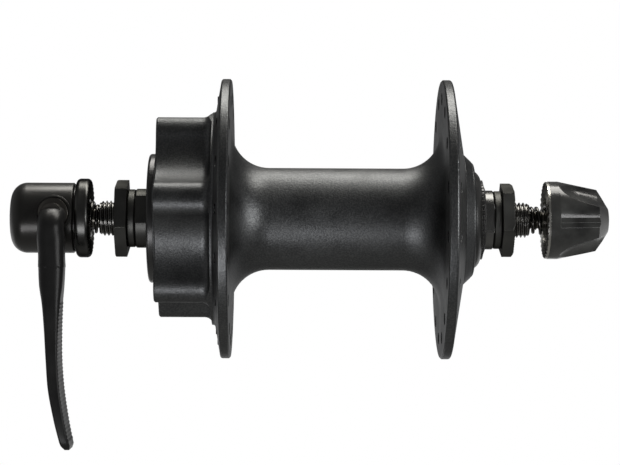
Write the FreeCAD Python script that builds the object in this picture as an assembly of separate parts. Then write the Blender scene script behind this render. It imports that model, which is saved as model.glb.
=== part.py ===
import FreeCAD, Part
import math
import os

# Bicycle front hub for a disc brake, with its quick release skewer. Sizes are in millimetres.
# X runs along the axle, from the lever towards the adjusting nut, and +Z is up.
# The origin is on the axle line, midway between the two locknut faces that the fork ends rest on.
# Lengths add up outwards from that middle, and an angle counts from the -Y side, up.
# A width or a wall beside the axle line adds up outwards from the piece inside it.

thread_gap = 0.02  # radial room of a screwed or pressed piece
running_gap = 0.04  # radial room of a shaft in its bush
touch = 0.0001  # places nearer than this count as one
tooth_cutter_rise = 0.2  # a groove's cutter starts this share of its depth over the face

# Hub shell
shell_half_length = 39.9
barrel_radius = 12.87
barrel_bore_radius = 8.2
flare_radius = 9.5
flange_left_thickness = 2.5  # at the rim
flange_right_thickness = 2.45
flange_slope = 0.17  # how much an outer face rises for each millimetre inwards from the rim
flange_outer_edge = 0.6
flange_inner_edge = 0.35
spoke_holes = 16  # in each flange
spoke_hole_radius = 1.3
spoke_band = 8.4  # the flange's width outside the disc mount's base
spoke_hole_inset = 4.7  # of a hole's middle from the rim
spoke_angle_left = 4.2  # of the first hole, from the top towards the back
spoke_angle_right = 14.5
bearing_boss_length = 5.7  # from the right flange's rim to the shell's end
bearing_boss_lip = 1.5  # flat end outside the right cap's seat
bearing_boss_fillet = 1.4
bearing_boss_round = 0.9

# Disc mount
mount_recess = 0.4  # its face lies this far inside the shell's end
mount_height = 16.0  # over the left flange's rim
mount_bolts = 6
mount_bolt_circle = 44.0
mount_bolt_angle = 18.4  # of the first boss, from the top towards the -Y side
mount_boss_radius = 4.3
mount_valley_depth = 2.7  # of a valley's floor inside the bolt circle
mount_bolt_hole_radius = 2.1  # tapped M5
mount_bolt_hole_depth = 12.0
mount_base_margin = 0.5  # of the base outside the bosses
mount_base_thickness = 2.1
mount_base_fillet = 0.75  # between the base and the flange
mount_foot_fillet = 2.3
mount_edge = 0.35

# Axle set
locknut_thickness = 3.0
locknut_across_flats = 17.0
locknut_chamfer = 1.0  # on the face towards the hub
locknut_angle_left = 46.8  # of one corner
locknut_angle_right = 44.4
washer_thickness = 2.0
washer_radius = 7.3
washer_round = 0.45
axle_radius = 4.45  # an M9 thread over its crests
axle_overhang = 4.1  # past the locknut, for the fork end's slot
axle_end_taper = 1.1
axle_end_drop = 0.6  # of the taper, in radius
axle_rod_play = 0.25  # between the rod and the axle's bore

# Cones and bearings
cone_reach = 5.1  # past the shell's end
cone_collar_radius = 7.45
cone_collar_length = 4.4
cone_across_flats = 13.0
cone_flat_length = 3.1
cone_flat_angle_left = 20.0
cone_flat_angle_right = 3.0
cone_edge = 0.3
cone_groove_depth = 0.55
cone_groove_length = 1.2
cone_nose_length = 1.1  # of the plain end past the race
ball_diameter = 4.7625
ball_count = 10
ball_circle_radius = 8.0
ball_depth = 3.6  # of the balls' plane inside the shell's end
contact_angle = 45.0
race_share = 1.05  # radius of a race over the radius of its ball
race_gap = 0.02
cup_wall = 1.0
cup_floor = 0.4
cup_lip_radius = 7.5

# Caps and seals
cap_skirt_length = 1.2
cap_skirt_wall = 1.1
cap_skirt_room = 0.1  # between a skirt and the cup
cap_left_band = 3.05  # of the left cap outside its skirt
cap_left_thickness = 1.7
cap_left_round = 0.7
cap_left_recess = 0.3
cap_left_margin = 0.05  # of the shell's spigot outside the cap
cap_left_skirt_radius = 13.2
cap_right_height = 1.75
cap_right_wall = 0.9
cap_right_slope = 2.1  # width of the domed part
cap_right_bulge = 0.72  # height of its middle over the cap's
cap_right_brim = 0.2  # outside the skirt
seal_ring_width = 0.95
seal_ring_height = 0.55
seal_ring_shoulder = 0.3  # of the cap's flat outside the ring
seal_ring_play = 0.15
seal_ring_teeth = 48
seal_ring_tooth_depth = 0.22
seal_gap = 0.12  # between the rubber that stands still and the cap that turns
seal_left_width = 1.03
seal_left_play = 0.25
seal_left_drop = 0.1  # under the left cap's face
seal_left_thickness = 1.35
seal_right_neck_width = 1.08
seal_right_neck_length = 1.6
seal_right_play = 0.35
seal_right_lip_width = 0.75
seal_right_lip_fall = 1.2  # of the lip's slope, in radius
seal_right_lip_thickness = 0.45

# Cam, rod and lever
rod_radius = 2.5
rod_guide_gap = 0.08
rod_end_taper = 0.7
rod_tip_length = 0.4  # past the nylon ring
pivot_z = 1.2
cam_throw = 0.8
cam_radius = 2.6
cam_length = 6.2
cam_eye_gap = 0.25  # the eye moves in proportion to the lever, the cam doesn't quite
eye_wall = 1.4
journal_step = 0.3  # of the front journal outside the cam's reach
back_journal_step = 0.15  # the back journal lies this far inside the cam's outline
bush_wall = 0.73
back_bush_wall = 1.33
cam_cap_radius = 3.5
cam_cap_thickness = 1.3
cam_cap_floor = 0.325
cam_cap_room = 0.065  # over the shaft's end
cam_cap_edge = 0.5
side_gap = 0.3  # from the housing's side to the lever and to the cap
lever_socket_radius = 2.4
lever_socket_depth = 3.6
elbow_radius = 4.4  # of the arm's middle line
neck_half_x = 3.2
neck_half_y = 3.7
neck_corner = 2.9

# Sections down the lever: height below the pivot, then the middle and the half width
# along X and along Y, both from the pivot and from the arm's middle line, and the corner radius.
lever_sections = [
    (8.9, 0.22, 3.27, 0.0, 3.85, 2.75),
    (13.4, 0.35, 3.25, 0.05, 4.0, 2.5),
    (17.9, 0.5, 3.05, 0.2, 4.35, 2.1),
    (22.4, 0.7, 2.5, 0.6, 4.95, 1.6),
    (26.9, 0.9, 2.15, 1.0, 5.4, 1.35),
    (31.4, 1.15, 2.0, 1.3, 5.8, 1.25),
    (35.9, 1.4, 1.9, 1.45, 6.05, 1.15),
    (40.4, 1.7, 1.85, 1.55, 6.2, 1.1),
    (44.9, 2.25, 1.85, 1.6, 6.2, 1.1),
    (49.4, 3.0, 1.8, 1.6, 6.15, 1.1),
    (53.9, 3.85, 1.65, 1.6, 5.9, 1.05),
    (58.4, 4.7, 0.8, 1.6, 4.7, 0.7),
]
lever_degree = 3  # of the smooth surface through the sections

# Lever housing and its clamping ring
clamp_gap = 6.2  # from the locknut to the toothed face, for the fork end
clamp_ring_lip = 1.09  # outside the housing
clamp_ring_length = 3.7
clamp_ring_round = 1.1
clamp_web = 0.7
clamp_seat_radius = 5.9  # recess for the spring's wide end
clamp_seat_depth = 1.4
clamp_teeth = 36
clamp_tooth_depth = 0.45
housing_wall = 1.76
housing_end_wall = 5.4
housing_crown = 0.3  # rise of the slightly domed end
housing_corner_radius = 4.0
housing_edge = 0.4
housing_groove = 0.35  # between the housing and the ring
housing_spigot_step = 0.76
housing_bush_margin = 0.4  # of the front bush from the groove
eye_side_room = 0.37
eye_end_room = 1.05

# Springs
spring_wire = 0.85
spring_seat_gap = 0.15
spring_rod_play = 0.125
spring_left_turns = 2.0
spring_left_play = 0.725  # inside its seat
spring_right_turns = 4.0
spring_right_play = 0.575

# Adjusting nut
nut_gap = 7.9  # from the locknut to the toothed face
nut_wall = 2.8  # outside the insert's sleeve
nut_band_length = 3.3
nut_taper_fall = 2.05
nut_chamfer_length = 2.9
nut_tip_wall = 1.4
nut_tip_radius = 3.1
nut_tip_crown = 0.3
nut_bore_play = 0.15
nut_bore_room = 2.4  # past the nylon ring
scoop_count = 3
scoop_angle = 56.0  # of the first scoop's middle
scoop_reach = 14.7  # of a scoop's own middle line from the axle line
scoop_margin = 0.3  # from the band
scoop_start_length = 5.0  # over which a scoop deepens fast
scoop_start_depth = 1.45  # at the end of that length
scoop_start_bulge = 0.72  # share of that depth halfway there
scoop_end_depth = 1.95  # at the taper's end
scoop_run_out = 0.56  # how fast it closes in on the axle line past the taper's end
flute_depth = 0.6
flute_half_width = 1.5
insert_rim_thickness = 0.9
insert_rim_inset = 0.1
insert_rim_edge = 0.3
insert_teeth = 36
insert_tooth_depth = 0.4
insert_sleeve_wall = 1.1
insert_recess_radius = 5.9
insert_recess_depth = 4.9
insert_floor = 1.9
insert_core_radius = 4.2
insert_core_length = 3.9
lock_ring_thickness = 1.6
lock_ring_wall = 1.38

# Along the axle: the shell and what fits in its ends
mount_face = shell_half_length - mount_recess
flange_left_face = mount_face - mount_height
flange_right_face = shell_half_length - bearing_boss_length
ball_plane = shell_half_length - ball_depth
cap_seat = shell_half_length - cap_skirt_length - cap_skirt_room
cone_end = shell_half_length + cone_reach
locknut_inner = cone_end + washer_thickness
half_over_locknuts = locknut_inner + locknut_thickness
axle_end = half_over_locknuts + axle_overhang

# Along the axle: the clamping ring, the housing and its cam
clamp_face = half_over_locknuts + clamp_gap
clamp_outer = clamp_face + clamp_ring_length
clamp_floor = clamp_face + clamp_seat_depth
spigot_end = clamp_floor + clamp_web
journal_radius = cam_radius + cam_throw + journal_step
back_journal_radius = cam_radius - cam_throw - back_journal_step
bush_radius = journal_radius + running_gap + bush_wall - thread_gap
back_bush_radius = back_journal_radius + running_gap + back_bush_wall - thread_gap
pivot_x = -(clamp_outer + housing_groove + housing_bush_margin + bush_radius)
eye_slot_radius = cam_radius + cam_eye_gap
eye_outer_radius = eye_slot_radius + eye_wall
cavity_floor = cam_throw - pivot_x + eye_outer_radius + eye_end_room
housing_end = cavity_floor + housing_end_wall

# Along the axle: the nut and the rod's end
nut_face = half_over_locknuts + nut_gap
nut_band_end = nut_face + nut_band_length
insert_floor_start = nut_face + insert_recess_depth
insert_floor_end = insert_floor_start + insert_floor
insert_core_end = insert_floor_end + insert_core_length
lock_ring_end = insert_core_end + lock_ring_thickness
nut_bore_end = lock_ring_end + nut_bore_room
nut_tip = nut_bore_end + nut_tip_wall
nut_taper_end = nut_tip - nut_chamfer_length
rod_end = lock_ring_end + rod_tip_length

# Beside the axle line
screwed_radius = axle_radius + thread_gap
axle_bore_radius = rod_radius + axle_rod_play
ball_radius = ball_diameter / 2
race_radius = ball_radius * race_share
race_offset = race_radius - ball_radius - race_gap
cone_groove_radius = cone_collar_radius - cone_groove_depth
seal_seat_radius = cone_collar_radius + thread_gap
seal_left_radius = seal_seat_radius + seal_left_width
cap_left_bore_radius = seal_left_radius + seal_left_play
cap_left_radius = cap_left_skirt_radius + cap_left_band
seal_right_neck_radius = seal_seat_radius + seal_right_neck_width
cap_right_bore_radius = seal_right_neck_radius + seal_right_play
seal_ring_radius = cap_right_bore_radius + seal_ring_play + seal_ring_width
cap_right_top_radius = seal_ring_radius + seal_ring_shoulder
cap_right_radius = cap_right_top_radius + cap_right_slope
cap_right_skirt_radius = cap_right_radius - cap_right_brim
bearing_boss_radius = cap_right_skirt_radius + bearing_boss_lip + bearing_boss_round
mount_spigot_radius = cap_left_radius + cap_left_margin
mount_bolt_radius = mount_bolt_circle / 2
mount_valley_radius = mount_bolt_radius - mount_valley_depth
mount_base_radius = mount_bolt_radius + mount_boss_radius + mount_base_margin
flange_radius = mount_base_radius + spoke_band
spoke_circle_radius = flange_radius - spoke_hole_inset
cavity_radius = math.hypot(pivot_z + cam_throw + eye_outer_radius, rod_radius) + eye_side_room
housing_radius = cavity_radius + housing_wall
housing_spigot_radius = housing_radius - housing_spigot_step
clamp_ring_radius = housing_radius + clamp_ring_lip
spring_inner_radius = rod_radius + spring_wire / 2 + spring_rod_play
insert_sleeve_radius = insert_recess_radius + insert_sleeve_wall
nut_band_radius = insert_sleeve_radius + nut_wall
nut_taper_radius = nut_band_radius - nut_taper_fall
insert_rim_radius = nut_band_radius - insert_rim_inset
arm_y = -(housing_radius + side_gap + elbow_radius)

V = FreeCAD.Vector
MIDDLE = V(0, 0, 0)
ALONG = V(1, 0, 0)
ACROSS = V(0, 1, 0)


class Profile:
    """A closed outline of (x, r) corners beside the axle line, drawn edge by edge."""

    def __init__(self, x, r):
        self.start = V(x, 0, r)
        self.here = self.start
        self.edges = []

    def line(self, x, r):
        end = V(x, 0, r)
        self.edges.append(Part.makeLine(self.here, end))
        self.here = end
        return self

    def arc(self, centre_x, centre_r, x, r):
        """The shorter arc about a centre."""
        end = V(x, 0, r)
        centre = V(centre_x, 0, centre_r)
        spoke = self.here - centre
        middle = spoke + (end - centre)
        middle.normalize()
        through = centre + middle * spoke.Length
        self.edges.append(Part.Arc(self.here, through, end).toShape())
        self.here = end
        return self

    def bow(self, through_x, through_r, x, r):
        """An arc through a point."""
        end = V(x, 0, r)
        self.edges.append(Part.Arc(self.here, V(through_x, 0, through_r), end).toShape())
        self.here = end
        return self

    def dome(self, x):
        """An arc to the axle line at x, square to it there."""
        rise = x - self.here.x
        reach = self.here.z
        radius = (reach**2 + rise**2) / (2 * abs(rise))
        centre = x - math.copysign(radius, rise)
        half = math.asin(reach / radius) / 2
        through_x = centre + math.copysign(radius, rise) * math.cos(half)
        return self.bow(through_x, radius * math.sin(half), x, 0)

    def turned(self):
        """The outline turned once round the axle line."""
        if self.here.distanceToPoint(self.start) > touch:
            self.edges.append(Part.makeLine(self.here, self.start))
        face = Part.Face(Part.Wire(self.edges))
        return whole(face.revolve(MIDDLE, ALONG, 360))


def whole(shape):
    """The one solid in a shape, the right way out."""
    piece = shape.Solids[0].copy()
    if piece.Volume < 0:
        piece.reverse()
    return piece


def ring(inner, outer, start, end):
    """A plain ring round the axle line."""
    return Profile(start, inner).line(start, outer).line(end, outer).line(end, inner).turned()


def rod_between(radius, start, end):
    """A plain round bar on the axle line."""
    return Part.makeCylinder(radius, end - start, V(start, 0, 0), ALONG)


def cross_rod(radius, x, z, start, end):
    """A plain round bar along Y."""
    return Part.makeCylinder(radius, end - start, V(x, start, z), ACROSS)


def turned_up(shape, degrees):
    """Turned about the axle line so that the -Y side goes up."""
    return shape.rotated(MIDDLE, ALONG, -degrees)


def to_left(shape):
    """The mirror image on the other side of the hub's middle."""
    return whole(shape.mirror(MIDDLE, ALONG))


def ring_of(shape, count, first=0.0):
    """Copies of a shape, evenly round the axle line."""
    return [turned_up(shape, first + i * 360.0 / count) for i in range(count)]


def radial_teeth(count, depth, face, inner, outer, inward):
    """V-shaped grooves that run outwards over a flat face at x = face, cut towards inward (+1 or -1)."""
    rise = depth * tooth_cutter_rise
    half = math.pi * outer / count * (depth + rise) / depth
    top = face - inward * rise
    corners = [V(top, -half, inner), V(top, half, inner), V(face + inward * depth, 0, inner)]
    bottom = Part.Face(Part.makePolygon(corners + corners[:1]))
    return ring_of(bottom.extrude(V(0, 0, outer - inner + depth)), count)


def make_axle():
    """Hollow axle with tapered ends."""
    end = axle_end
    taper = axle_end_taper
    low = axle_radius - axle_end_drop
    profile = Profile(-end, axle_bore_radius)
    profile.line(-end, low).line(-end + taper, axle_radius)
    profile.line(end - taper, axle_radius).line(end, low).line(end, axle_bore_radius)
    return profile.turned()


def race_arc_end(centre_x, centre_r, degrees):
    """A point on a race's arc, at an angle from the outward direction."""
    angle = math.radians(degrees)
    return centre_x + race_radius * math.cos(angle), centre_r + race_radius * math.sin(angle)


def race_centre(sign):
    """Middle of a race's arc: sign is +1 for the cone, which holds the balls from outside, -1 for the cup."""
    angle = math.radians(contact_angle)
    x = ball_plane - sign * race_offset * math.cos(angle)
    r = ball_circle_radius + sign * race_offset * math.sin(angle)
    return x, r


def cup_radius():
    """Outside of a ball cup."""
    return race_centre(-1)[1] + race_radius + cup_wall


def cup_seat():
    """Where a ball cup's inner end stands in the shell."""
    return race_centre(-1)[0] - race_radius - cup_floor


def make_cone(flat_angle):
    """Cone with its race, a groove for the seal and a collar with two wrench flats."""
    centre_x, centre_r = race_centre(1)
    top_x, top_r = race_arc_end(centre_x, centre_r, -20)
    nose_x, nose_r = race_arc_end(centre_x, centre_r, -85)
    collar_start = cone_end - cone_collar_length
    groove_start = collar_start - cone_groove_length
    nose_end = nose_x - cone_nose_length
    profile = Profile(cone_end, screwed_radius)
    profile.line(cone_end, cone_collar_radius - cone_edge)
    profile.line(cone_end - cone_edge, cone_collar_radius)
    profile.line(collar_start, cone_collar_radius).line(collar_start, cone_groove_radius)
    profile.line(groove_start, cone_groove_radius).line(groove_start, top_r).line(top_x, top_r)
    profile.arc(centre_x, centre_r, nose_x, nose_r)
    profile.line(nose_end + cone_edge, nose_r).line(nose_end, nose_r - cone_edge)
    profile.line(nose_end, screwed_radius)
    cone = profile.turned()
    room = 2 * cone_collar_radius
    for side in (-1, 1):
        middle = side * (cone_across_flats / 2 + room / 2)
        corner = V(cone_end - cone_flat_length, middle - room / 2, -room / 2)
        cone = cone.cut(Part.makeBox(cone_flat_length + cone_edge, room, room, corner))
    return turned_up(whole(cone), flat_angle)


def make_washer():
    """Thick washer with a rounded rim."""
    start = cone_end
    end = locknut_inner
    edge = washer_round
    profile = Profile(start, screwed_radius).line(start, washer_radius - edge)
    profile.arc(start + edge, washer_radius - edge, start + edge, washer_radius)
    profile.line(end - edge, washer_radius)
    profile.arc(end - edge, washer_radius - edge, end, washer_radius - edge)
    profile.line(end, screwed_radius)
    return profile.turned()


def make_locknut(corner_angle):
    """Hexagon nut with its corners turned down on the face towards the hub."""
    corner_radius = locknut_across_flats / 2 / math.cos(math.pi / 6)
    corners = [turned_corner(locknut_inner, corner_radius, 60 * i) for i in range(7)]
    prism = Part.Face(Part.makePolygon(corners)).extrude(V(locknut_thickness, 0, 0))
    low = corner_radius - 2 * locknut_chamfer
    profile = Profile(locknut_inner, screwed_radius).line(locknut_inner, low)
    profile.line(locknut_inner + locknut_chamfer, corner_radius)
    profile.line(half_over_locknuts, corner_radius).line(half_over_locknuts, screwed_radius)
    return turned_up(whole(prism.common(profile.turned())), corner_angle)


def turned_corner(x, radius, degrees):
    """A point beside the axle line, at an angle counted from the -Y side, up."""
    angle = math.radians(degrees)
    return V(x, -radius * math.cos(angle), radius * math.sin(angle))


def make_cup():
    """Pressed-in ball cup with its race."""
    centre_x, centre_r = race_centre(-1)
    inner_x = centre_x - math.sqrt(race_radius**2 - (centre_r - cup_lip_radius) ** 2)
    outer_r = centre_r + race_radius
    seat = cup_seat()
    profile = Profile(seat, cup_lip_radius).line(seat, cup_radius())
    profile.line(cap_seat, cup_radius()).line(cap_seat, outer_r).line(centre_x, outer_r)
    profile.arc(centre_x, centre_r, inner_x, cup_lip_radius)
    return profile.turned()


def make_balls():
    """One row of balls."""
    ball = Part.makeSphere(ball_radius, V(ball_plane, 0, ball_circle_radius))
    return Part.makeCompound(ring_of(ball, ball_count))


def boss_outline(x):
    """Outline of the disc mount: a convex arc at each boss and a concave arc in each valley."""
    circle = mount_bolt_radius
    step = math.radians(360.0 / mount_bolts)
    half = step / 2
    near = mount_valley_radius - mount_boss_radius
    valley_circle = (circle**2 - near**2) / (2 * (circle * math.cos(half) - near))
    first = math.radians(90.0 - mount_bolt_angle)
    edges = []
    for i in range(mount_bolts):
        boss = polar(x, circle, first + i * step)
        before = polar(x, valley_circle, first + (i - 0.5) * step)
        after = polar(x, valley_circle, first + (i + 0.5) * step)
        next_boss = polar(x, circle, first + (i + 1) * step)
        start = towards(boss, before, mount_boss_radius)
        top = polar(x, circle + mount_boss_radius, first + i * step)
        end = towards(boss, after, mount_boss_radius)
        edges.append(Part.Arc(start, top, end).toShape())
        valley = polar(x, mount_valley_radius, first + (i + 0.5) * step)
        edges.append(Part.Arc(end, valley, towards(next_boss, after, mount_boss_radius)).toShape())
    return Part.Wire(edges)


def polar(x, radius, angle):
    """A point at an angle in radians, counted from the -Y side, up."""
    return V(x, -radius * math.cos(angle), radius * math.sin(angle))


def towards(start, end, distance):
    """The point at a distance from start, on the way to end."""
    way = end - start
    way.normalize()
    return start + way * distance


def make_disc_mount():
    """Six bosses joined by scooped valleys, with a hollow foot where they meet the base ring."""
    foot = -flange_left_face - mount_base_thickness
    sunk = -flange_left_face + flange_left_thickness / 2
    block = Part.Face(boss_outline(-mount_face)).extrude(V(mount_face + foot, 0, 0))
    base = rod_between(mount_base_radius + 2 * mount_foot_fillet, foot, sunk)
    joined = whole(block.fuse(base).removeSplitter())
    foot_edges = [e for e in joined.Edges if on_plane(e, foot) and longest_reach(e) < mount_base_radius]
    joined = whole(joined.makeFillet(mount_foot_fillet, foot_edges))
    face_edges = [e for e in joined.Edges if on_plane(e, -mount_face)]
    joined = whole(joined.makeChamfer(mount_edge, face_edges))
    return joined.common(rod_between(mount_base_radius, -mount_face - mount_edge, sunk))


def on_plane(edge, x):
    """Whether an edge lies in the plane at x."""
    box = edge.BoundBox
    return abs(box.XMin - x) < touch and abs(box.XMax - x) < touch


def longest_reach(edge):
    """How far an edge's ends are from the axle line."""
    return max(math.hypot(v.Y, v.Z) for v in edge.Vertexes)


def make_spool():
    """The turned outside of the shell: spigot, two flanges, barrel and right bearing boss."""
    left_out = -flange_left_face
    left_in = left_out + flange_left_thickness
    right_out = flange_right_face
    right_in = right_out - flange_right_thickness
    rim = flange_radius
    edge_out = flange_outer_edge
    edge_in = flange_inner_edge
    flare_top = barrel_radius + flare_radius
    boss = bearing_boss_radius
    fillet = bearing_boss_fillet
    end = shell_half_length
    corner = bearing_boss_round
    core = mount_spigot_radius
    base = mount_base_radius
    foot = left_out - mount_base_thickness
    profile = Profile(-end, 0).line(-end, core).line(foot, core).line(foot, base)
    cylinder_x, cone_x, cone_r = flange_fillet(base, mount_base_fillet)
    profile.line(left_out - cylinder_x, base)
    profile.arc(left_out - cylinder_x, base + mount_base_fillet, left_out - cone_x, cone_r)
    profile.line(left_out, rim - edge_out)
    profile.arc(left_out + edge_out, rim - edge_out, left_out + edge_out, rim)
    profile.line(left_in - edge_in, rim).line(left_in, rim - edge_in).line(left_in, flare_top)
    profile.arc(left_in + flare_radius, flare_top, left_in + flare_radius, barrel_radius)
    profile.line(right_in - flare_radius, barrel_radius)
    profile.arc(right_in - flare_radius, flare_top, right_in, flare_top)
    profile.line(right_in, rim - edge_in).line(right_in + edge_in, rim).line(right_out - edge_out, rim)
    profile.arc(right_out - edge_out, rim - edge_out, right_out, rim - edge_out)
    cylinder_x, cone_x, cone_r = flange_fillet(boss, fillet)
    profile.line(right_out + cone_x, cone_r)
    profile.arc(right_out + cylinder_x, boss + fillet, right_out + cylinder_x, boss)
    profile.line(end - corner, boss).arc(end - corner, boss - corner, end, boss - corner)
    profile.line(end, 0)
    return profile.turned()


def flange_fillet(radius, fillet):
    """Ends of a fillet between a cylinder and a flange's outer face: x on the cylinder, x and r on the face."""
    slope = math.atan(flange_slope)
    corner_x = flange_slope * (flange_radius - flange_outer_edge - radius)
    reach = fillet * math.tan((math.pi / 2 - slope) / 2)
    return corner_x + reach, corner_x - reach * math.sin(slope), radius + reach * math.cos(slope)


def make_shell_bore():
    """What is bored out of the shell: the barrel, two cup seats and two cap seats."""
    end = shell_half_length + cap_skirt_length
    inner = cup_seat()
    seat = cup_radius() + thread_gap
    left = cap_left_skirt_radius + thread_gap
    right = cap_right_skirt_radius + thread_gap
    profile = Profile(-end, 0).line(-end, left).line(-cap_seat, left).line(-cap_seat, seat)
    profile.line(-inner, seat).line(-inner, barrel_bore_radius)
    profile.line(inner, barrel_bore_radius).line(inner, seat).line(cap_seat, seat)
    profile.line(cap_seat, right).line(end, right).line(end, 0)
    return profile.turned()


def spoke_drills(start, thickness, first):
    """Drills for one flange's spoke holes, counted from the top towards the back."""
    proud = flange_slope * spoke_band + spoke_hole_radius / 2
    corner = V(start - proud, 0, spoke_circle_radius)
    drill = Part.makeCylinder(spoke_hole_radius, thickness + 2 * proud, corner, ALONG)
    return ring_of(drill, spoke_holes, first)


def make_hub_shell():
    """The one-piece shell."""
    shell = whole(make_spool().fuse(make_disc_mount()).removeSplitter())
    drills = spoke_drills(-flange_left_face, flange_left_thickness, spoke_angle_left)
    right_start = flange_right_face - flange_right_thickness
    drills += spoke_drills(right_start, flange_right_thickness, spoke_angle_right)
    tapped = Part.makeCylinder(
        mount_bolt_hole_radius,
        mount_bolt_hole_depth + mount_bolt_hole_radius,
        V(-mount_face - mount_bolt_hole_radius, 0, mount_bolt_radius),
        ALONG,
    )
    drills += ring_of(tapped, mount_bolts, -mount_bolt_angle)
    return whole(shell.cut([make_shell_bore()] + drills))


def make_dust_cap_left():
    """Flat cap with a rounded rim and a skirt in the shell."""
    start = shell_half_length
    end = start + cap_left_thickness
    edge = cap_left_round
    inner = cap_left_skirt_radius - cap_skirt_wall
    profile = Profile(start - cap_skirt_length, inner).line(start - cap_skirt_length, cap_left_skirt_radius)
    profile.line(start, cap_left_skirt_radius).line(start, cap_left_radius)
    profile.line(end - edge, cap_left_radius)
    profile.arc(end - edge, cap_left_radius - edge, end, cap_left_radius - edge)
    floor = start + cap_left_recess
    profile.line(end, cap_left_bore_radius).line(floor, cap_left_bore_radius).line(floor, inner)
    return to_left(profile.turned())


def make_dust_cap_right():
    """Domed cap with a skirt in the shell and a step for the serrated ring."""
    start = shell_half_length
    end = start + cap_right_height
    inner = cap_right_skirt_radius - cap_skirt_wall
    floor = end - cap_right_wall
    middle_r = (cap_right_radius + cap_right_top_radius) / 2
    profile = Profile(start - cap_skirt_length, inner).line(start - cap_skirt_length, cap_right_skirt_radius)
    profile.line(start, cap_right_skirt_radius).line(start, cap_right_radius)
    profile.bow(start + cap_right_height * cap_right_bulge, middle_r, end, cap_right_top_radius)
    profile.line(end, cap_right_bore_radius).line(floor, cap_right_bore_radius)
    profile.line(floor, inner - cap_right_wall).line(start, inner)
    return profile.turned()


def make_seal_ring_right():
    """Finely serrated ring on the right cap's face."""
    start = shell_half_length + cap_right_height
    blank = ring(cap_right_bore_radius + seal_ring_play, seal_ring_radius, start, start + seal_ring_height)
    corner = V(start - seal_ring_height, 0, seal_ring_radius)
    notch = Part.makeCylinder(seal_ring_tooth_depth, 3 * seal_ring_height, corner, ALONG)
    return whole(blank.cut(ring_of(notch, seal_ring_teeth)))


def make_cone_seal_left():
    """Rubber ring on the left cone, flush with the cap."""
    end = shell_half_length + cap_left_thickness - seal_left_drop
    return to_left(ring(seal_seat_radius, seal_left_radius, end - seal_left_thickness, end))


def make_cone_seal_right():
    """Rubber ring on the right cone, with a lip that covers the serrated ring's bore."""
    lip = shell_half_length + cap_right_height + seal_ring_height + seal_gap
    neck = lip - seal_right_neck_length
    end = lip + seal_right_lip_thickness
    reach = seal_right_neck_radius + seal_right_lip_width
    profile = Profile(neck, seal_seat_radius).line(neck, seal_right_neck_radius)
    profile.line(lip, seal_right_neck_radius).line(lip, reach)
    profile.line(end, reach - seal_right_lip_fall).line(end, seal_seat_radius)
    return profile.turned()


def make_housing_blank():
    """The housing's outside: a round body with a crowned, rounded end and a spigot for the ring."""
    corner = housing_corner_radius
    crown_start = -housing_end + housing_crown
    end = -clamp_outer - housing_groove
    reach = housing_radius - corner
    edge = housing_edge
    profile = Profile(-spigot_end, 0).line(-spigot_end, housing_spigot_radius)
    profile.line(end, housing_spigot_radius).line(end, housing_radius - edge)
    profile.line(end - edge, housing_radius).line(crown_start + corner, housing_radius)
    profile.arc(crown_start + corner, reach, crown_start, reach).dome(-housing_end)
    return profile.turned()


def make_lever_housing():
    """Cam housing, bored from its face and drilled across for the two bushes."""
    cavity = rod_between(cavity_radius, -cavity_floor, -spigot_end + clamp_web)
    front = cross_rod(bush_radius, pivot_x, pivot_z, -housing_radius - side_gap, 0)
    back = cross_rod(back_bush_radius, pivot_x, pivot_z, 0, housing_radius + side_gap)
    return whole(make_housing_blank().cut([cavity, front, back]))


def make_clamp_ring():
    """Steel ring pressed on the housing, with a seat for the spring and a toothed face."""
    outer = -clamp_outer
    face = -clamp_face
    edge = clamp_ring_round
    rim = clamp_ring_radius
    guide = rod_radius + rod_guide_gap
    seat = housing_spigot_radius + thread_gap
    profile = Profile(outer, seat).line(outer, rim - edge)
    profile.arc(outer + edge, rim - edge, outer + edge, rim).line(face - edge, rim)
    profile.arc(face - edge, rim - edge, face, rim - edge).line(face, clamp_seat_radius)
    profile.line(-clamp_floor, clamp_seat_radius).line(-clamp_floor, guide)
    profile.line(-spigot_end, guide).line(-spigot_end, seat)
    blank = profile.turned()
    inside = clamp_seat_radius - clamp_ring_round
    teeth = radial_teeth(clamp_teeth, clamp_tooth_depth, face, inside, rim, -1)
    return whole(blank.cut(teeth))


def make_bush(radius, journal, side):
    """A bush that fills the housing's wall round the cam shaft."""
    reach = housing_radius + side_gap
    start = 0 if side > 0 else -reach
    tube = cross_rod(radius - thread_gap, pivot_x, pivot_z, start, start + reach)
    bore = journal + running_gap
    tube = tube.cut(cross_rod(bore, pivot_x, pivot_z, start - side_gap, start + reach + side_gap))
    wall = ring(cavity_radius, housing_radius, -housing_end, -clamp_outer)
    return whole(tube.common(wall))


def make_cam_bushes():
    """The front bush and the smaller back one."""
    front = make_bush(bush_radius, journal_radius, -1)
    back = make_bush(back_bush_radius, back_journal_radius, 1)
    return Part.makeCompound([front, back])


def make_cam_shaft():
    """Front journal, eccentric cam, back journal and the stub that the lever is pressed on."""
    half = cam_length / 2
    side = housing_radius + side_gap
    shaft = cross_rod(journal_radius, pivot_x, pivot_z, -side, -half)
    shaft = shaft.fuse(cross_rod(cam_radius, pivot_x - cam_throw, pivot_z, -half, half))
    back_end = side + cam_cap_thickness - cam_cap_floor - cam_cap_room
    shaft = shaft.fuse(cross_rod(back_journal_radius, pivot_x, pivot_z, half, back_end))
    stub = cross_rod(lever_socket_radius, pivot_x, pivot_z, -side - lever_socket_depth, -side)
    return whole(shaft.fuse(stub))


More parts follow.
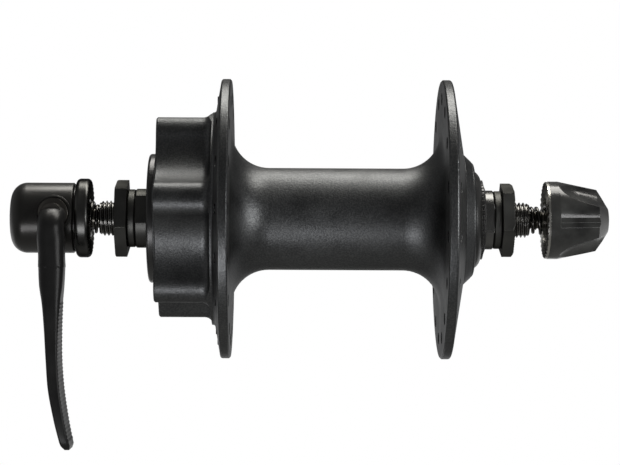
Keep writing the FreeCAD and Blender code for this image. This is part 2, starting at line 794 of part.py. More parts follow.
def make_cam_cap():
    """Cap on the shaft's back end."""
    start = housing_radius + side_gap
    end = start + cam_cap_thickness
    cap = cross_rod(cam_cap_radius, pivot_x, pivot_z, start, end)
    rim = [e for e in cap.Edges if abs(e.BoundBox.YMin - end) < touch and abs(e.BoundBox.YMax - end) < touch]
    cap = cap.makeChamfer(cam_cap_edge, rim)
    bore = back_journal_radius + thread_gap
    return whole(cap.cut(cross_rod(bore, pivot_x, pivot_z, start - side_gap, end - cam_cap_floor)))


def rounded_outline(half_a, half_b, corner):
    """Corners and arcs of a rounded rectangle in its own plane, as (a, b) triples for lines and arcs."""
    c = corner
    d = corner * (1 - math.sqrt(0.5))
    a = half_a
    b = half_b
    return [
        [(a, -b + c), (a, b - c)],
        [(a, b - c), (a - d, b - d), (a - c, b)],
        [(a - c, b), (-a + c, b)],
        [(-a + c, b), (-a + d, b - d), (-a, b - c)],
        [(-a, b - c), (-a, -b + c)],
        [(-a, -b + c), (-a + d, -b + d), (-a + c, -b)],
        [(-a + c, -b), (a - c, -b)],
        [(a - c, -b), (a - d, -b + d), (a, -b + c)],
    ]


def rounded_wire(middle, first, second, half_a, half_b, corner):
    """A rounded rectangle about a point, with its sides along two directions."""
    edges = []
    for stretch in rounded_outline(half_a, half_b, corner):
        points = [middle + first * a + second * b for a, b in stretch]
        if len(points) == 2:
            edges.append(Part.makeLine(points[0], points[1]))
        else:
            edges.append(Part.Arc(points[0], points[1], points[2]).toShape())
    return Part.Wire(edges)


def make_lever():
    """Elbow from the cam shaft out and down, then the arm and the curved paddle."""
    side = housing_radius + side_gap
    pivot = V(pivot_x, -side, pivot_z)
    root = Part.Face(rounded_wire(pivot, V(1, 0, 0), V(0, 0, 1), neck_half_x, neck_half_y, neck_corner))
    bend_axis = V(pivot_x, -side, pivot_z - elbow_radius)
    elbow = whole(root.revolve(bend_axis, ALONG, 90))
    wires = []
    neck = (elbow_radius, 0.0, neck_half_x, 0.0, neck_half_y, neck_corner)
    for down, middle_x, half_x, middle_y, half_y, corner in [neck] + lever_sections:
        middle = V(pivot_x + middle_x, arm_y + middle_y, pivot_z - down)
        wires.append(rounded_wire(middle, V(1, 0, 0), V(0, 1, 0), half_x, half_y, corner))
    arm = whole(Part.makeLoft(wires, True, False, False, lever_degree))
    bore = lever_socket_radius + thread_gap
    socket = cross_rod(bore, pivot_x, pivot_z, -side - lever_socket_depth, -side + side_gap)
    return whole(elbow.fuse(arm).cut(socket))


def make_skewer_rod():
    """Rod with an upright slotted eye round the cam."""
    cam_x = pivot_x - cam_throw
    taper_start = rod_end - rod_end_taper
    shape = rod_between(rod_radius, cam_x + eye_outer_radius - eye_wall / 2, taper_start)
    tip = Part.makeCone(rod_radius, rod_radius - rod_end_taper, rod_end_taper, V(taper_start, 0, 0), ALONG)
    eye = upright_slot(cam_x, eye_outer_radius, rod_radius)
    hole = upright_slot(cam_x, eye_slot_radius, rod_radius + cam_eye_gap)
    return whole(shape.fuse([tip, eye]).cut(hole).removeSplitter())


def upright_slot(x, radius, half):
    """A bar along Y with round top and bottom, as tall as the cam's rise asks for."""
    low = cross_rod(radius, x, pivot_z, -half, half)
    high = cross_rod(radius, x, pivot_z + cam_throw, -half, half)
    middle = Part.makeBox(2 * radius, 2 * half, cam_throw, V(x - radius, -half, pivot_z))
    return low.fuse([high, middle])


class Coil:
    """A conical coil of round wire round the axle line."""

    def __init__(self, start_x, end_x, start_radius, end_radius, turns):
        self.start_x = start_x
        self.end_x = end_x
        self.start_radius = start_radius
        self.end_radius = end_radius
        self.turns = turns

    def point(self, t):
        """A point of the wire's middle line, t turns from the start."""
        share = t / self.turns
        radius = self.start_radius + (self.end_radius - self.start_radius) * share
        return polar(self.start_x + (self.end_x - self.start_x) * share, radius, 2 * math.pi * t)

    def direction(self, t):
        """The way that the wire runs there."""
        share = t / self.turns
        radius = self.start_radius + (self.end_radius - self.start_radius) * share
        angle = 2 * math.pi * t
        climb = (self.end_x - self.start_x) / self.turns
        spread = (self.end_radius - self.start_radius) / self.turns
        across = 2 * math.pi * radius
        y = across * math.sin(angle) - spread * math.cos(angle)
        z = across * math.cos(angle) + spread * math.sin(angle)
        way = V(climb, y, z)
        way.normalize()
        return way

    def path(self):
        """The middle line as two arcs for each quarter turn, with a short straight end at each side."""
        quarters = round(self.turns * 4)
        first = self.point(0)
        edges = [Part.makeLine(first - self.direction(0) * spring_wire, first)]
        for i in range(quarters):
            a = i / 4
            b = (i + 1) / 4
            edges += two_arcs(self.point(a), self.direction(a), self.point(b), self.direction(b))
        last = self.point(self.turns)
        edges.append(Part.makeLine(last, last + self.direction(self.turns) * spring_wire))
        return Part.Wire(edges)

    def wound(self):
        """The wire itself."""
        path = self.path()
        start = path.Edges[0].Vertexes[0].Point
        section = Part.Wire(Part.makeCircle(spring_wire / 2, start, self.direction(0)))
        shell = Part.BRepOffsetAPI.MakePipeShell(path)
        shell.add(section)
        shell.build()
        shell.makeSolid()
        return whole(shell.shape())

    def least_gap(self):
        """The least gap between the wire and itself, measured on points at least half a turn apart."""
        per_turn = 90
        points = [self.point(i / per_turn) for i in range(int(self.turns * per_turn) + 1)]
        least = 1e9
        for i, a in enumerate(points):
            for b in points[i + per_turn // 2 :]:
                least = min(least, a.distanceToPoint(b))
        return least - spring_wire


def two_arcs(start, start_way, end, end_way):
    """Two arcs that leave one point along its direction and reach the next along its own."""
    chord = end - start
    both = start_way + end_way
    bend = 2 * (1 - start_way.dot(end_way))
    along = chord.dot(both)
    reach = (math.sqrt(along**2 + bend * chord.dot(chord)) - along) / bend
    corner_a = start + start_way * reach
    corner_b = end - end_way * reach
    meet = (corner_a + corner_b) * 0.5
    return [arc_round(start, corner_a, meet), arc_round(meet, corner_b, end)]


def arc_round(start, corner, end):
    """The arc from start to end whose tangents meet at the corner."""
    foot = (start + end) * 0.5
    half_chord = start.distanceToPoint(end) / 2
    side = start.distanceToPoint(corner)
    rise = half_chord * math.tan(math.acos(half_chord / side) / 2)
    return Part.Arc(start, towards(foot, corner, rise), end).toShape()


def make_spring_left():
    """Conical spring between the axle's end and the clamp ring's seat."""
    half = spring_wire / 2
    start = -axle_end - half - spring_seat_gap
    end = -clamp_floor + half + spring_seat_gap
    wide = clamp_seat_radius - half - spring_left_play
    coil = Coil(start, end, spring_inner_radius, wide, spring_left_turns)
    print("left spring, least gap to itself:", round(coil.least_gap(), 3), "mm")
    return coil.wound()


def make_spring_right():
    """Conical spring between the axle's other end and the nut's recess."""
    half = spring_wire / 2
    start = axle_end + half + spring_seat_gap
    end = insert_floor_start - half - spring_seat_gap
    wide = insert_recess_radius - half - spring_right_play
    coil = Coil(start, end, spring_inner_radius, wide, spring_right_turns)
    print("right spring, least gap to itself:", round(coil.least_gap(), 3), "mm")
    return coil.wound()


def make_nut_insert():
    """Steel insert: toothed rim, sleeve round the spring, and the threaded core."""
    rim_end = nut_face + insert_rim_thickness
    bore = rod_radius + thread_gap
    edge = insert_rim_edge
    profile = Profile(nut_face, insert_recess_radius).line(nut_face, insert_rim_radius - edge)
    profile.line(nut_face + edge, insert_rim_radius).line(rim_end, insert_rim_radius)
    profile.line(rim_end, insert_sleeve_radius).line(insert_floor_end, insert_sleeve_radius)
    profile.line(insert_floor_end, insert_core_radius).line(insert_core_end, insert_core_radius)
    profile.line(insert_core_end, bore).line(insert_floor_start, bore)
    profile.line(insert_floor_start, insert_recess_radius)
    blank = profile.turned()
    inside = insert_recess_radius - insert_sleeve_wall
    teeth = radial_teeth(insert_teeth, insert_tooth_depth, nut_face, inside, insert_rim_radius, 1)
    return whole(blank.cut(teeth))


def make_lock_ring():
    """Nylon ring behind the thread."""
    bore = rod_radius + thread_gap
    return ring(bore, bore + lock_ring_wall, insert_core_end, lock_ring_end)


def make_adjusting_nut():
    """Grip nut with a band, a domed tip, and a taper with three scoops and three flutes between them."""
    start = nut_face + insert_rim_thickness
    core = insert_core_radius + thread_gap
    sleeve = insert_sleeve_radius + thread_gap
    end_bore = rod_radius + nut_bore_play
    profile = Profile(start, sleeve).line(start, nut_band_radius).line(nut_band_end, nut_band_radius)
    profile.line(nut_taper_end, nut_taper_radius).line(nut_tip, nut_tip_radius)
    profile.dome(nut_tip + nut_tip_crown)
    profile.line(nut_bore_end, 0).line(nut_bore_end, end_bore).line(lock_ring_end, end_bore)
    profile.line(lock_ring_end, core).line(insert_floor_end, core).line(insert_floor_end, sleeve)
    blank = profile.turned()
    scoops = ring_of(make_scoop(), scoop_count, scoop_angle)
    flutes = ring_of(make_flute(), scoop_count, scoop_angle + math.degrees(math.pi / scoop_count))
    return whole(blank.cut(scoops + flutes))


def taper_radius(x):
    """The nut's radius at a place on its taper."""
    return nut_band_radius - nut_taper_fall * (x - nut_band_end) / (nut_taper_end - nut_band_end)


def make_scoop():
    """Cutter for one scoop on the -Y side: a turned body beside the nut, thicker towards the tip."""
    start = nut_band_end + scoop_margin
    bend = start + scoop_start_length
    middle = (start + bend) / 2
    end = nut_tip + scoop_margin
    bend_radius = scoop_reach - taper_radius(bend) + scoop_start_depth
    middle_radius = scoop_reach - taper_radius(middle) + scoop_start_depth * scoop_start_bulge
    taper_end_radius = scoop_reach - nut_taper_radius + scoop_end_depth
    profile = Profile(start, 0).line(start, scoop_reach - taper_radius(start))
    profile.bow(middle, middle_radius, bend, bend_radius)
    profile.line(nut_taper_end, taper_end_radius)
    profile.line(end, taper_end_radius + scoop_run_out * (end - nut_taper_end)).line(end, 0)
    return profile.turned().translated(ACROSS * -scoop_reach)


def make_flute():
    """Cutter for one flute on the -Y side: a V whose crease runs in line with the taper."""
    start = nut_band_end
    end = nut_tip + scoop_margin
    crease = nut_band_radius - flute_depth
    corners = [
        V(start, -crease, 0),
        V(start, -crease - 2 * flute_depth, 2 * flute_half_width),
        V(start, -crease - 2 * flute_depth, -2 * flute_half_width),
    ]
    mouth = Part.Face(Part.makePolygon(corners + corners[:1]))
    return mouth.extrude(V(end - start, nut_band_radius - taper_radius(end), 0))


def main():
    """Write one file for each node."""
    os.makedirs("parts", exist_ok=True)
    nodes = {
        "axle": make_axle(),
        "cone_left": to_left(make_cone(cone_flat_angle_left)),
        "cone_right": make_cone(cone_flat_angle_right),
        "cone_seal_left": make_cone_seal_left(),
        "cone_seal_right": make_cone_seal_right(),
        "washer_left": to_left(make_washer()),
        "washer_right": make_washer(),
        "locknut_left": to_left(make_locknut(locknut_angle_left)),
        "locknut_right": make_locknut(locknut_angle_right),
        "hub_shell": make_hub_shell(),
        "bearing_cup_left": to_left(make_cup()),
        "bearing_cup_right": make_cup(),
        "dust_cap_left": make_dust_cap_left(),
        "dust_cap_right": make_dust_cap_right(),
        "seal_ring_right": make_seal_ring_right(),
        "balls_left": make_balls().mirror(MIDDLE, ALONG),
        "balls_right": make_balls(),
        "lever_housing": make_lever_housing(),
        "clamp_ring": make_clamp_ring(),
        "cam_bushes": make_cam_bushes(),
        "cam_shaft": make_cam_shaft(),
        "cam_cap": make_cam_cap(),
        "lever": make_lever(),
        "skewer_rod": make_skewer_rod(),
        "spring_left": make_spring_left(),
        "spring_right": make_spring_right(),
        "adjusting_nut": make_adjusting_nut(),
        "nut_insert": make_nut_insert(),
        "lock_ring": make_lock_ring(),
    }
    for name, shape in nodes.items():
        shape.exportStep("parts/" + name + ".step")


if __name__ == "__main__":
    main()
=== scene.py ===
"""The looks of a bicycle front hub with its quick release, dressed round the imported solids."""

import logging
import math
from dataclasses import dataclass
from enum import Enum

import bpy
from mathutils import Matrix, Vector


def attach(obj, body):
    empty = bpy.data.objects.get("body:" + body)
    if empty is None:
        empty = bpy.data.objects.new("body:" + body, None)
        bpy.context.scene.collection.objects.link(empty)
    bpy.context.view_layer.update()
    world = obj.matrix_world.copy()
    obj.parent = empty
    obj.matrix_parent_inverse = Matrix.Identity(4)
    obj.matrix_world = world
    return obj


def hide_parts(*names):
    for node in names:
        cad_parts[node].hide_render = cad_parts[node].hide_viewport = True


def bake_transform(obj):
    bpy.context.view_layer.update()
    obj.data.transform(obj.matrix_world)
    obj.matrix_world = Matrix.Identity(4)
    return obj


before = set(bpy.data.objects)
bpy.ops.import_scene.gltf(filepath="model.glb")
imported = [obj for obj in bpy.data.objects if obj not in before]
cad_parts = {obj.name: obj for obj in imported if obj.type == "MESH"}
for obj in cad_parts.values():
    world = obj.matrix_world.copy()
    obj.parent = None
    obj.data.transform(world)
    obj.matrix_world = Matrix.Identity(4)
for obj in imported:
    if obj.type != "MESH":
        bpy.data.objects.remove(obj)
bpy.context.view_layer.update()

Corner = tuple[float, float]
Place = tuple[float, float, float]
Piece = bpy.types.Object
Tree = bpy.types.NodeTree
# What feeds a node's input: another's output, or a node, which stands for its first output in use.
Source = bpy.types.NodeSocket | bpy.types.Node

MM = 0.001
TURN = 2 * math.pi
log = logging.getLogger("front_hub")

# The cam shaft's line: its place along the axle and its height, in millimetres.
PIVOT: Corner = (-65.1, 1.2)
# Corners of a mesh nearer than this, in millimetres, are one; those of a wound one lie less exactly.
SAME = 0.001
SAME_WOUND = 0.002
# How near a corner lies to the place or radius that it is picked by, in millimetres.
NEAR = 0.05

# What the finishes share. As sockets of a MapRange node: the runs of noise that clouds and the fine dots
# of painted sparkle are drawn from, and the match of the softened normal with the true one where the
# edges' lighter colour, partly rubbed and partly painted highlight, begins and is whole.
NOISE_RUN = {1: 0.3, 2: 0.7}
SPARKLE_RUN = {1: 0.4, 2: 0.62}
MATCH_RUN = {1: 0.995, 2: 0.86}
# How strong the clouds are, how wide the patches of chafing and painted glint on edges are, and how
# wide the step to a turned rim is, in millimetres.
CLOUD_SHARE = 0.22
CHAFE_AND_GLINT_SIZE = 1.4
RIM_STEP = 0.1
# How much a pattern changes along a drawn scratch and along a turned ring, which draws it out.
DRAWN_SHARE = 0.04
RING_SHARE = 0.03


def linear(code: str) -> tuple[float, float, float, float]:
    """Turns a screen colour into the linear one that a shader takes, by the sRGB standard's curve.

    Args:
        code: sRGB colour as six hex digits after a hash sign.

    Returns:
        Red, green, blue and an alpha of one.
    """
    shares = [int(code[i : i + 2], 16) / 255 for i in (1, 3, 5)]
    lifted = [s / 12.92 if s <= 0.04045 else ((s + 0.055) / 1.055) ** 2.4 for s in shares]
    return lifted[0], lifted[1], lifted[2], 1.0


def add_node(tree: Tree, kind: str, sockets: dict | None = None, **settings: object) -> bpy.types.Node:
    """Adds one node with its settings, its constants and its links.

    Args:
        tree: The node tree that gets it.
        kind: The node's type name after the word ShaderNode.
        sockets: For each input's name or number, a constant or a source.
        **settings: The node's own properties.

    Returns:
        The new node.
    """
    node = tree.nodes.new("ShaderNode" + kind)
    for name, value in settings.items():
        setattr(node, name, value)
    for key, value in (sockets or {}).items():
        if isinstance(value, bpy.types.Node):
            value = next(output for output in value.outputs if output.enabled)
        if isinstance(value, bpy.types.NodeSocket):
            tree.links.new(value, node.inputs[key])
        else:
            node.inputs[key].default_value = value
    return node


class Grain(Enum):
    """How a surface was made, which sets the run of its fine marks."""

    BLASTED = "fine pits without direction"
    TURNED = "rings round the piece's own line"
    DRAWN = "scratches in line with the axle"
    MOULDED = "soft unevenness"


class Line(Enum):
    """The line that a piece was turned about: a point on it, and a mask for the distance from it."""

    AXLE = ((0.0, 0.0, 0.0), (0.0, 1.0, 1.0))
    CAM = ((PIVOT[0], 0.0, PIVOT[1]), (1.0, 0.0, 1.0))


@dataclass(frozen=True)
class Finish:
    """A real material and how its surface was made.

    Colours are sRGB. Sizes are in millimetres. The edge radius is what tumbling or a coat leaves
    on an edge. The second colour is lighter: along the edges it is partly rubbed and partly a painted
    highlight where the edges catch the light, and one share sets how far it comes through there.
    Another sets how far it comes through in fine dots, a painted sparkle that stands for glints.
    The rim's roughness holds beyond the rim radius, where there is one.
    """

    title: str
    colour: str
    worn_and_lit: str
    metallic: float = 1.0
    roughness: float = 0.35
    spread: float = 0.06
    grain: Grain = Grain.BLASTED
    line: Line = Line.AXLE
    grain_size: float = 0.25
    relief: float = 0.006
    cloud_size: float = 7.0
    edge: float = 0.2
    wear_and_glint: float = 0.4
    tint: str = "#ffffff"
    coat: float = 0.0
    coat_roughness: float = 0.1
    painted_sparkle: float = 0.0
    rim_radius: float = 0.0
    rim_roughness: float = 0.3

    def grain_vector(self, tree: Tree, place: Source) -> Source:
        """Bends the coordinates so that the marks run the way the tool ran.

        Args:
            tree: The material's nodes.
            place: Object coordinates.

        Returns:
            The coordinates for the fine marks.
        """
        if self.grain is Grain.DRAWN:
            return add_node(tree, "VectorMath", {0: place, 1: (DRAWN_SHARE, 1, 1)}, operation="MULTIPLY")
        if self.grain is not Grain.TURNED:
            return place
        centre, mask = self.line.value
        offset = tuple(-c * MM for c in centre)
        moved = add_node(tree, "VectorMath", {0: place, 1: offset}, operation="ADD")
        across = add_node(tree, "VectorMath", {0: moved, 1: mask}, operation="MULTIPLY")
        radius = add_node(tree, "VectorMath", {0: across}, operation="LENGTH")
        along = tuple(1 - m for m in mask)
        run = add_node(tree, "VectorMath", {0: moved, 1: along}, operation="DOT_PRODUCT")
        around = add_node(tree, "VectorMath", {0: across, "Scale": RING_SHARE}, operation="SCALE")
        rings = add_node(tree, "CombineXYZ", {0: run, 1: radius})
        return add_node(tree, "VectorMath", {0: rings, 1: around}, operation="ADD")

    def rim_finish(self, tree: Tree, place: Source, rough: Source) -> Source:
        """Smooths the surface beyond a radius, where the forging was turned after blasting.

        Args:
            tree: The material's nodes.
            place: Object coordinates.
            rough: The roughness elsewhere.

        Returns:
            The roughness all over.
        """
        across = add_node(tree, "VectorMath", {0: place, 1: Line.AXLE.value[1]}, operation="MULTIPLY")
        radius = add_node(tree, "VectorMath", {0: across}, operation="LENGTH")
        edge, step = self.rim_radius * MM, RIM_STEP * MM
        beyond = add_node(tree, "MapRange", {"Value": radius, 1: edge - step, 2: edge + step})
        return add_node(tree, "Mix", {0: beyond, 2: rough, 3: self.rim_roughness}, data_type="FLOAT")

    def worn_and_lit_share(self, tree: Tree, place: Source, soft: Source) -> Source:
        """The edges' share of the lighter colour, partly rubbed and partly painted highlight: most where
        the softened normal leaves the true one.

        Args:
            tree: The material's nodes.
            place: Object coordinates.
            soft: The normal softened over the edges.

        Returns:
            A share from 0 to 1.
        """
        true = add_node(tree, "NewGeometry").outputs["Normal"]
        match = add_node(tree, "VectorMath", {0: soft, 1: true}, operation="DOT_PRODUCT")
        edge = add_node(tree, "MapRange", MATCH_RUN | {"Value": match, 4: self.wear_and_glint})
        scale = 1 / (CHAFE_AND_GLINT_SIZE * MM)
        chafe_and_glint = add_node(tree, "TexNoise", {"Vector": place, "Scale": scale, "Detail": 3.0})
        return add_node(tree, "Math", {0: edge, 1: chafe_and_glint}, operation="MULTIPLY")

    def material(self) -> bpy.types.Material:
        """Builds the finish once, and gives the same material each time after.

        Returns:
            The material.
        """
        made = bpy.data.materials.get(self.title)
        if made:
            return made
        made = bpy.data.materials.new(self.title)
        made.use_nodes = True
        tree = made.node_tree
        tree.nodes.clear()
        place = add_node(tree, "TexCoord").outputs["Object"]
        soft = add_node(tree, "Bevel", {"Radius": self.edge * MM}, samples=6)
        scale = 1 / (self.cloud_size * MM)
        cloud = add_node(tree, "TexNoise", {"Vector": place, "Scale": scale, "Detail": 4.0})
        marks = self.grain_vector(tree, place)
        scale = 1 / (self.grain_size * MM)
        fine = add_node(tree, "TexNoise", {"Vector": marks, "Scale": scale})
        # Along the edges the lighter colour is partly rubbed and partly a painted highlight.
        share = self.worn_and_lit_share(tree, place, soft)
        clouded = add_node(tree, "MapRange", NOISE_RUN | {"Value": cloud, 4: CLOUD_SHARE})
        total = add_node(tree, "Math", {0: share, 1: clouded}, operation="ADD")
        # Painted sparkle: fine dots of the lighter colour that stand for glints on the surface.
        if self.painted_sparkle:
            sparkle_spots = add_node(tree, "MapRange", SPARKLE_RUN | {"Value": fine, 4: self.painted_sparkle})
            total = add_node(tree, "Math", {0: total, 1: sparkle_spots}, operation="ADD", use_clamp=True)
        clean, worn_and_lit = linear(self.colour), linear(self.worn_and_lit)
        colour = add_node(tree, "Mix", {0: total, 6: clean, 7: worn_and_lit}, data_type="RGBA")
        least, most = self.roughness - self.spread, self.roughness + self.spread
        rough = add_node(tree, "MapRange", NOISE_RUN | {"Value": cloud, 3: least, 4: most})
        if self.rim_radius:
            rough = self.rim_finish(tree, place, rough)
        bump = add_node(tree, "Bump", {"Distance": self.relief * MM, "Height": fine, "Normal": soft})
        body = {"Base Color": colour, "Metallic": self.metallic, "Roughness": rough, "Normal": bump}
        gloss = {"Specular Tint": linear(self.tint), "Coat Weight": self.coat}
        gloss["Coat Roughness"] = self.coat_roughness
        shader = add_node(tree, "BsdfPrincipled", body | gloss)
        add_node(tree, "OutputMaterial", {"Surface": shader})
        return made


# Aluminium forging, blasted with fine glass beads and anodised black: a satin grey-black with a fine
# sparkle, broad soft highlights and no hard reflection. The flanges' rims were turned after blasting
# and are smoother. The beads' pits are drawn some four times too coarse, so that they show.
# Its sparkle is painted into its colour as fine lighter dots.
SHELL = Finish(
    "aluminium forged blasted anodised black", "#454647", "#5f6060",
    roughness=0.45, grain_size=0.42, relief=0.05, edge=0.15, wear_and_glint=0.5, tint="#dedede",
    painted_sparkle=0.5, rim_radius=34.5, rim_roughness=0.36,
)
# Painted shade in the spoke holes: their walls and a lip round each mouth are drawn black and dull. The
# holes were drilled through the forging before anodising.
HOLE_SHADE = Finish(
    "painted hole shade black", "#1d1d1d", "#3a3a3a",
    roughness=0.5, grain_size=0.2, relief=0.004, edge=0.05, wear_and_glint=0.2, tint="#707070",
)
# Pressed steel under a stoved black lacquer: darker than the shell, with a tighter highlight.
CAP = Finish(
    "steel pressed lacquered black", "#161616", "#3a3a38",
    metallic=0.0, roughness=0.3, grain=Grain.TURNED, grain_size=0.3, relief=0.004, wear_and_glint=0.25,
)
# Cone steel, hardened, ground and blackened: dark, but its flats mirror the light above.
CONE = Finish(
    "bearing steel ground blackened", "#585857", "#8e8e8b",
    roughness=0.24, grain=Grain.TURNED, grain_size=0.12, relief=0.003, edge=0.15, wear_and_glint=0.8, tint="#b0b0b0",
)
# Turned steel with a black oxide skin left a little brown by the oil: dull, with fine turning rings.
OXIDE = Finish(
    "steel turned black oxide", "#414140", "#757570",
    roughness=0.44, grain=Grain.TURNED, grain_size=0.16, edge=0.18, wear_and_glint=0.6, tint="#9a9a98",
)
# Rolled thread in oiled steel: crests bright over dark roots, partly rubbed and partly a painted
# highlight.
AXLE = Finish(
    "steel rolled thread oiled", "#565553", "#b0afab",
    roughness=0.26, grain=Grain.TURNED, grain_size=0.1, relief=0.002, edge=0.08, wear_and_glint=1.0,
)
# Chrome steel balls, lapped: a mirror.
BALL = Finish(
    "chrome steel lapped", "#c9c9c7", "#d8d8d6",
    roughness=0.06, spread=0.02, grain_size=0.5, relief=0.0002, wear_and_glint=0.0,
)
# Cup steel, ground: fine bright rings.
RACE = Finish(
    "bearing steel ground", "#8f8f8c", "#b9b9b6",
    roughness=0.18, grain=Grain.TURNED, grain_size=0.08, relief=0.001,
)
# Nitrile rubber lip, moulded: the dullest black here.
RUBBER = Finish(
    "nitrile rubber moulded", "#171717", "#2c2c2c",
    metallic=0.0, roughness=0.6, grain=Grain.MOULDED, grain_size=0.8, relief=0.008, wear_and_glint=0.2,
)
# Die-cast housing, tumbled and painted: smooth satin, with a broad warm highlight.
HOUSING = Finish(
    "aluminium cast painted black", "#131312", "#262524",
    metallic=0.0, roughness=0.34, grain=Grain.MOULDED, grain_size=0.9, edge=0.35, wear_and_glint=0.2,
    tint="#b4b2ae", coat=0.2, coat_roughness=0.2,
)
# Forged lever, painted like the housing, a little duller from the hand. Its grain is drawn coarser than
# the real one, so that it shows.
LEVER = Finish(
    "aluminium forged painted black", "#161616", "#2c2c2b",
    metallic=0.0, roughness=0.36, grain_size=0.35, relief=0.008, edge=0.3, wear_and_glint=0.25, tint="#8e8e8e",
)
# Clamping ring: turned steel, blackened and oiled, with a metal's clear highlight. Its teeth are bright,
# partly rubbed and partly painted glints.
RING = Finish(
    "steel turned blackened oiled", "#303030", "#9a9a96",
    roughness=0.3, grain=Grain.TURNED, grain_size=0.14, relief=0.003, edge=0.12, wear_and_glint=1.0, tint="#a0a0a0",
)
# Cam shaft and its cap: hardened steel, ground, darkened by heat.
CAM = Finish(
    "tool steel ground darkened", "#4a4845", "#86837c",
    roughness=0.3, grain=Grain.TURNED, line=Line.CAM, grain_size=0.12, relief=0.002, edge=0.15, wear_and_glint=0.6,
)
# Acetal bush, moulded: black and slightly waxy.
BUSH = Finish(
    "acetal moulded black", "#141414", "#242424",
    metallic=0.0, roughness=0.34, grain=Grain.TURNED, line=Line.CAM,
    grain_size=0.3, relief=0.003, wear_and_glint=0.2,
)
# Drawn rod, blackened and oiled: grey, with fine scratches along it.
ROD = Finish(
    "steel drawn blackened", "#55534e", "#95928a",
    roughness=0.28, grain=Grain.DRAWN, grain_size=0.12, relief=0.002, edge=0.08, wear_and_glint=0.9,
)
# Spring wire, drawn, hardened in oil: glossy black with round grey highlights.
SPRING = Finish(
    "spring steel oil hardened", "#454442", "#6c6a65",
    roughness=0.2, grain=Grain.DRAWN, grain_size=0.2, relief=0.002, edge=0.05, wear_and_glint=0.3,
)
# Grip nut: zinc casting under a gloss black paint. Its ridges are lighter, partly where the paint is thin
# and partly as a painted highlight.
NUT = Finish(
    "zinc cast painted gloss black", "#141414", "#6c6d6a",
    metallic=0.0, roughness=0.22, grain=Grain.MOULDED, grain_size=1.1, relief=0.008, edge=0.18, wear_and_glint=0.8,
    tint="#a2a2a2", coat=0.35, coat_roughness=0.12,
)
# Steel insert, turned and zinc plated: the one bright piece that shows.
ZINC = Finish(
    "steel turned zinc plated", "#a3a29d", "#cccbc5",
    roughness=0.26, grain=Grain.TURNED, grain_size=0.12, relief=0.003, edge=0.12, wear_and_glint=0.5,
)
# Nylon ring, turned: milky and dull.
NYLON = Finish(
    "nylon turned natural", "#d9d5c6", "#e6e3d8",
    metallic=0.0, roughness=0.45, grain=Grain.TURNED, grain_size=0.2, relief=0.003, wear_and_glint=0.2,
)


def leave_edit() -> None:
    """Goes back to object mode."""
    bpy.ops.object.mode_set(mode="OBJECT")


def leave_selection() -> None:
    """Deselects all, in object mode."""
    if bpy.context.object and bpy.context.object.mode != "OBJECT":
        leave_edit()
    bpy.ops.object.select_all(action="DESELECT")


def take(piece: Piece) -> None:
    """Selects one object alone and makes it active."""
    leave_selection()
    piece.select_set(True)
    bpy.context.view_layer.objects.active = piece


def edit(piece: Piece, action: str = "SELECT") -> None:
    """Opens a piece in edit mode with all of it selected, or none with the action DESELECT."""
    take(piece)
    bpy.ops.object.mode_set(mode="EDIT")
    bpy.ops.mesh.select_mode(type="VERT")
    bpy.ops.mesh.select_all(action=action)


def trim(place: Place, way: Place) -> None:
    """Cuts off what lies beyond a place in a direction, in edit mode, and closes the cut."""
    spot = tuple(c * MM for c in place)
    bpy.ops.mesh.bisect(plane_co=spot, plane_no=way, use_fill=True, clear_outer=True)


def settle(piece: Piece) -> None:
    """Merges a piece's doubles, turns its faces outwards and leaves edit mode."""
    edit(piece)
    bpy.ops.mesh.remove_doubles(threshold=SAME / 2 * MM)
    bpy.ops.mesh.normals_make_consistent(inside=False)
    leave_edit()


def close_ends(piece: Piece) -> None:
    """Fills the open ends of a piece, each with one face."""
    edit(piece, "DESELECT")
    bpy.ops.mesh.select_non_manifold()
    bpy.ops.mesh.edge_face_add()
    settle(piece)


def run_modifier(piece: Piece, kind: str, **settings: object) -> None:
    """Adds a modifier with its settings and applies it.

    Args:
        piece: The piece.
        kind: The modifier's type.
        **settings: The modifier's own properties.
    """
    take(piece)
    modifier = piece.modifiers.new(kind.lower(), kind)
    for name, value in settings.items():
        setattr(modifier, name, value)
    bpy.ops.object.modifier_apply(modifier=modifier.name)


def shape_with(piece: Piece, other: Piece, operation: str) -> None:
    """Meets or joins a piece with another, which is used up.

    Args:
        piece: The piece that is shaped.
        other: The tool.
        operation: INTERSECT or UNION.
    """
    run_modifier(piece, "BOOLEAN", object=other, operation=operation, solver="EXACT")
    bpy.data.objects.remove(other)


def outline(name: str, corners: list[Corner]) -> Piece:
    """Draws an open outline beside the axle line, by extruding one vertex.

    Args:
        name: The new object's name.
        corners: Places along the line and radii, in millimetres.

    Returns:
        The outline, as a chain of edges.
    """
    leave_selection()
    bpy.ops.mesh.primitive_plane_add(size=MM, location=(0, 0, 0))
    piece = bpy.context.object
    piece.name = name
    edit(piece)
    bpy.ops.mesh.merge(type="CENTER")
    first = corners[0]
    bpy.ops.transform.translate(value=(first[0] * MM, 0, first[1] * MM))
    for here, there in zip(corners, corners[1:]):
        step = ((there[0] - here[0]) * MM, 0, (there[1] - here[1]) * MM)
        bpy.ops.mesh.extrude_region_move(TRANSFORM_OT_translate={"value": step})
    leave_edit()
    return piece


def turned(name: str, corners: list[Corner], steps: int = 72) -> Piece:
    """Turns a closed outline once round the axle line.

    Args:
        name: The new object's name.
        corners: The outline's corners; the last is joined to the first.
        steps: Facets round the line.

    Returns:
        The turned piece.
    """
    piece = outline(name, corners + corners[:1])
    edit(piece)
    bpy.ops.mesh.spin(steps=steps, angle=TURN, center=(0, 0, 0), axis=(1, 0, 0))
    settle(piece)
    return piece


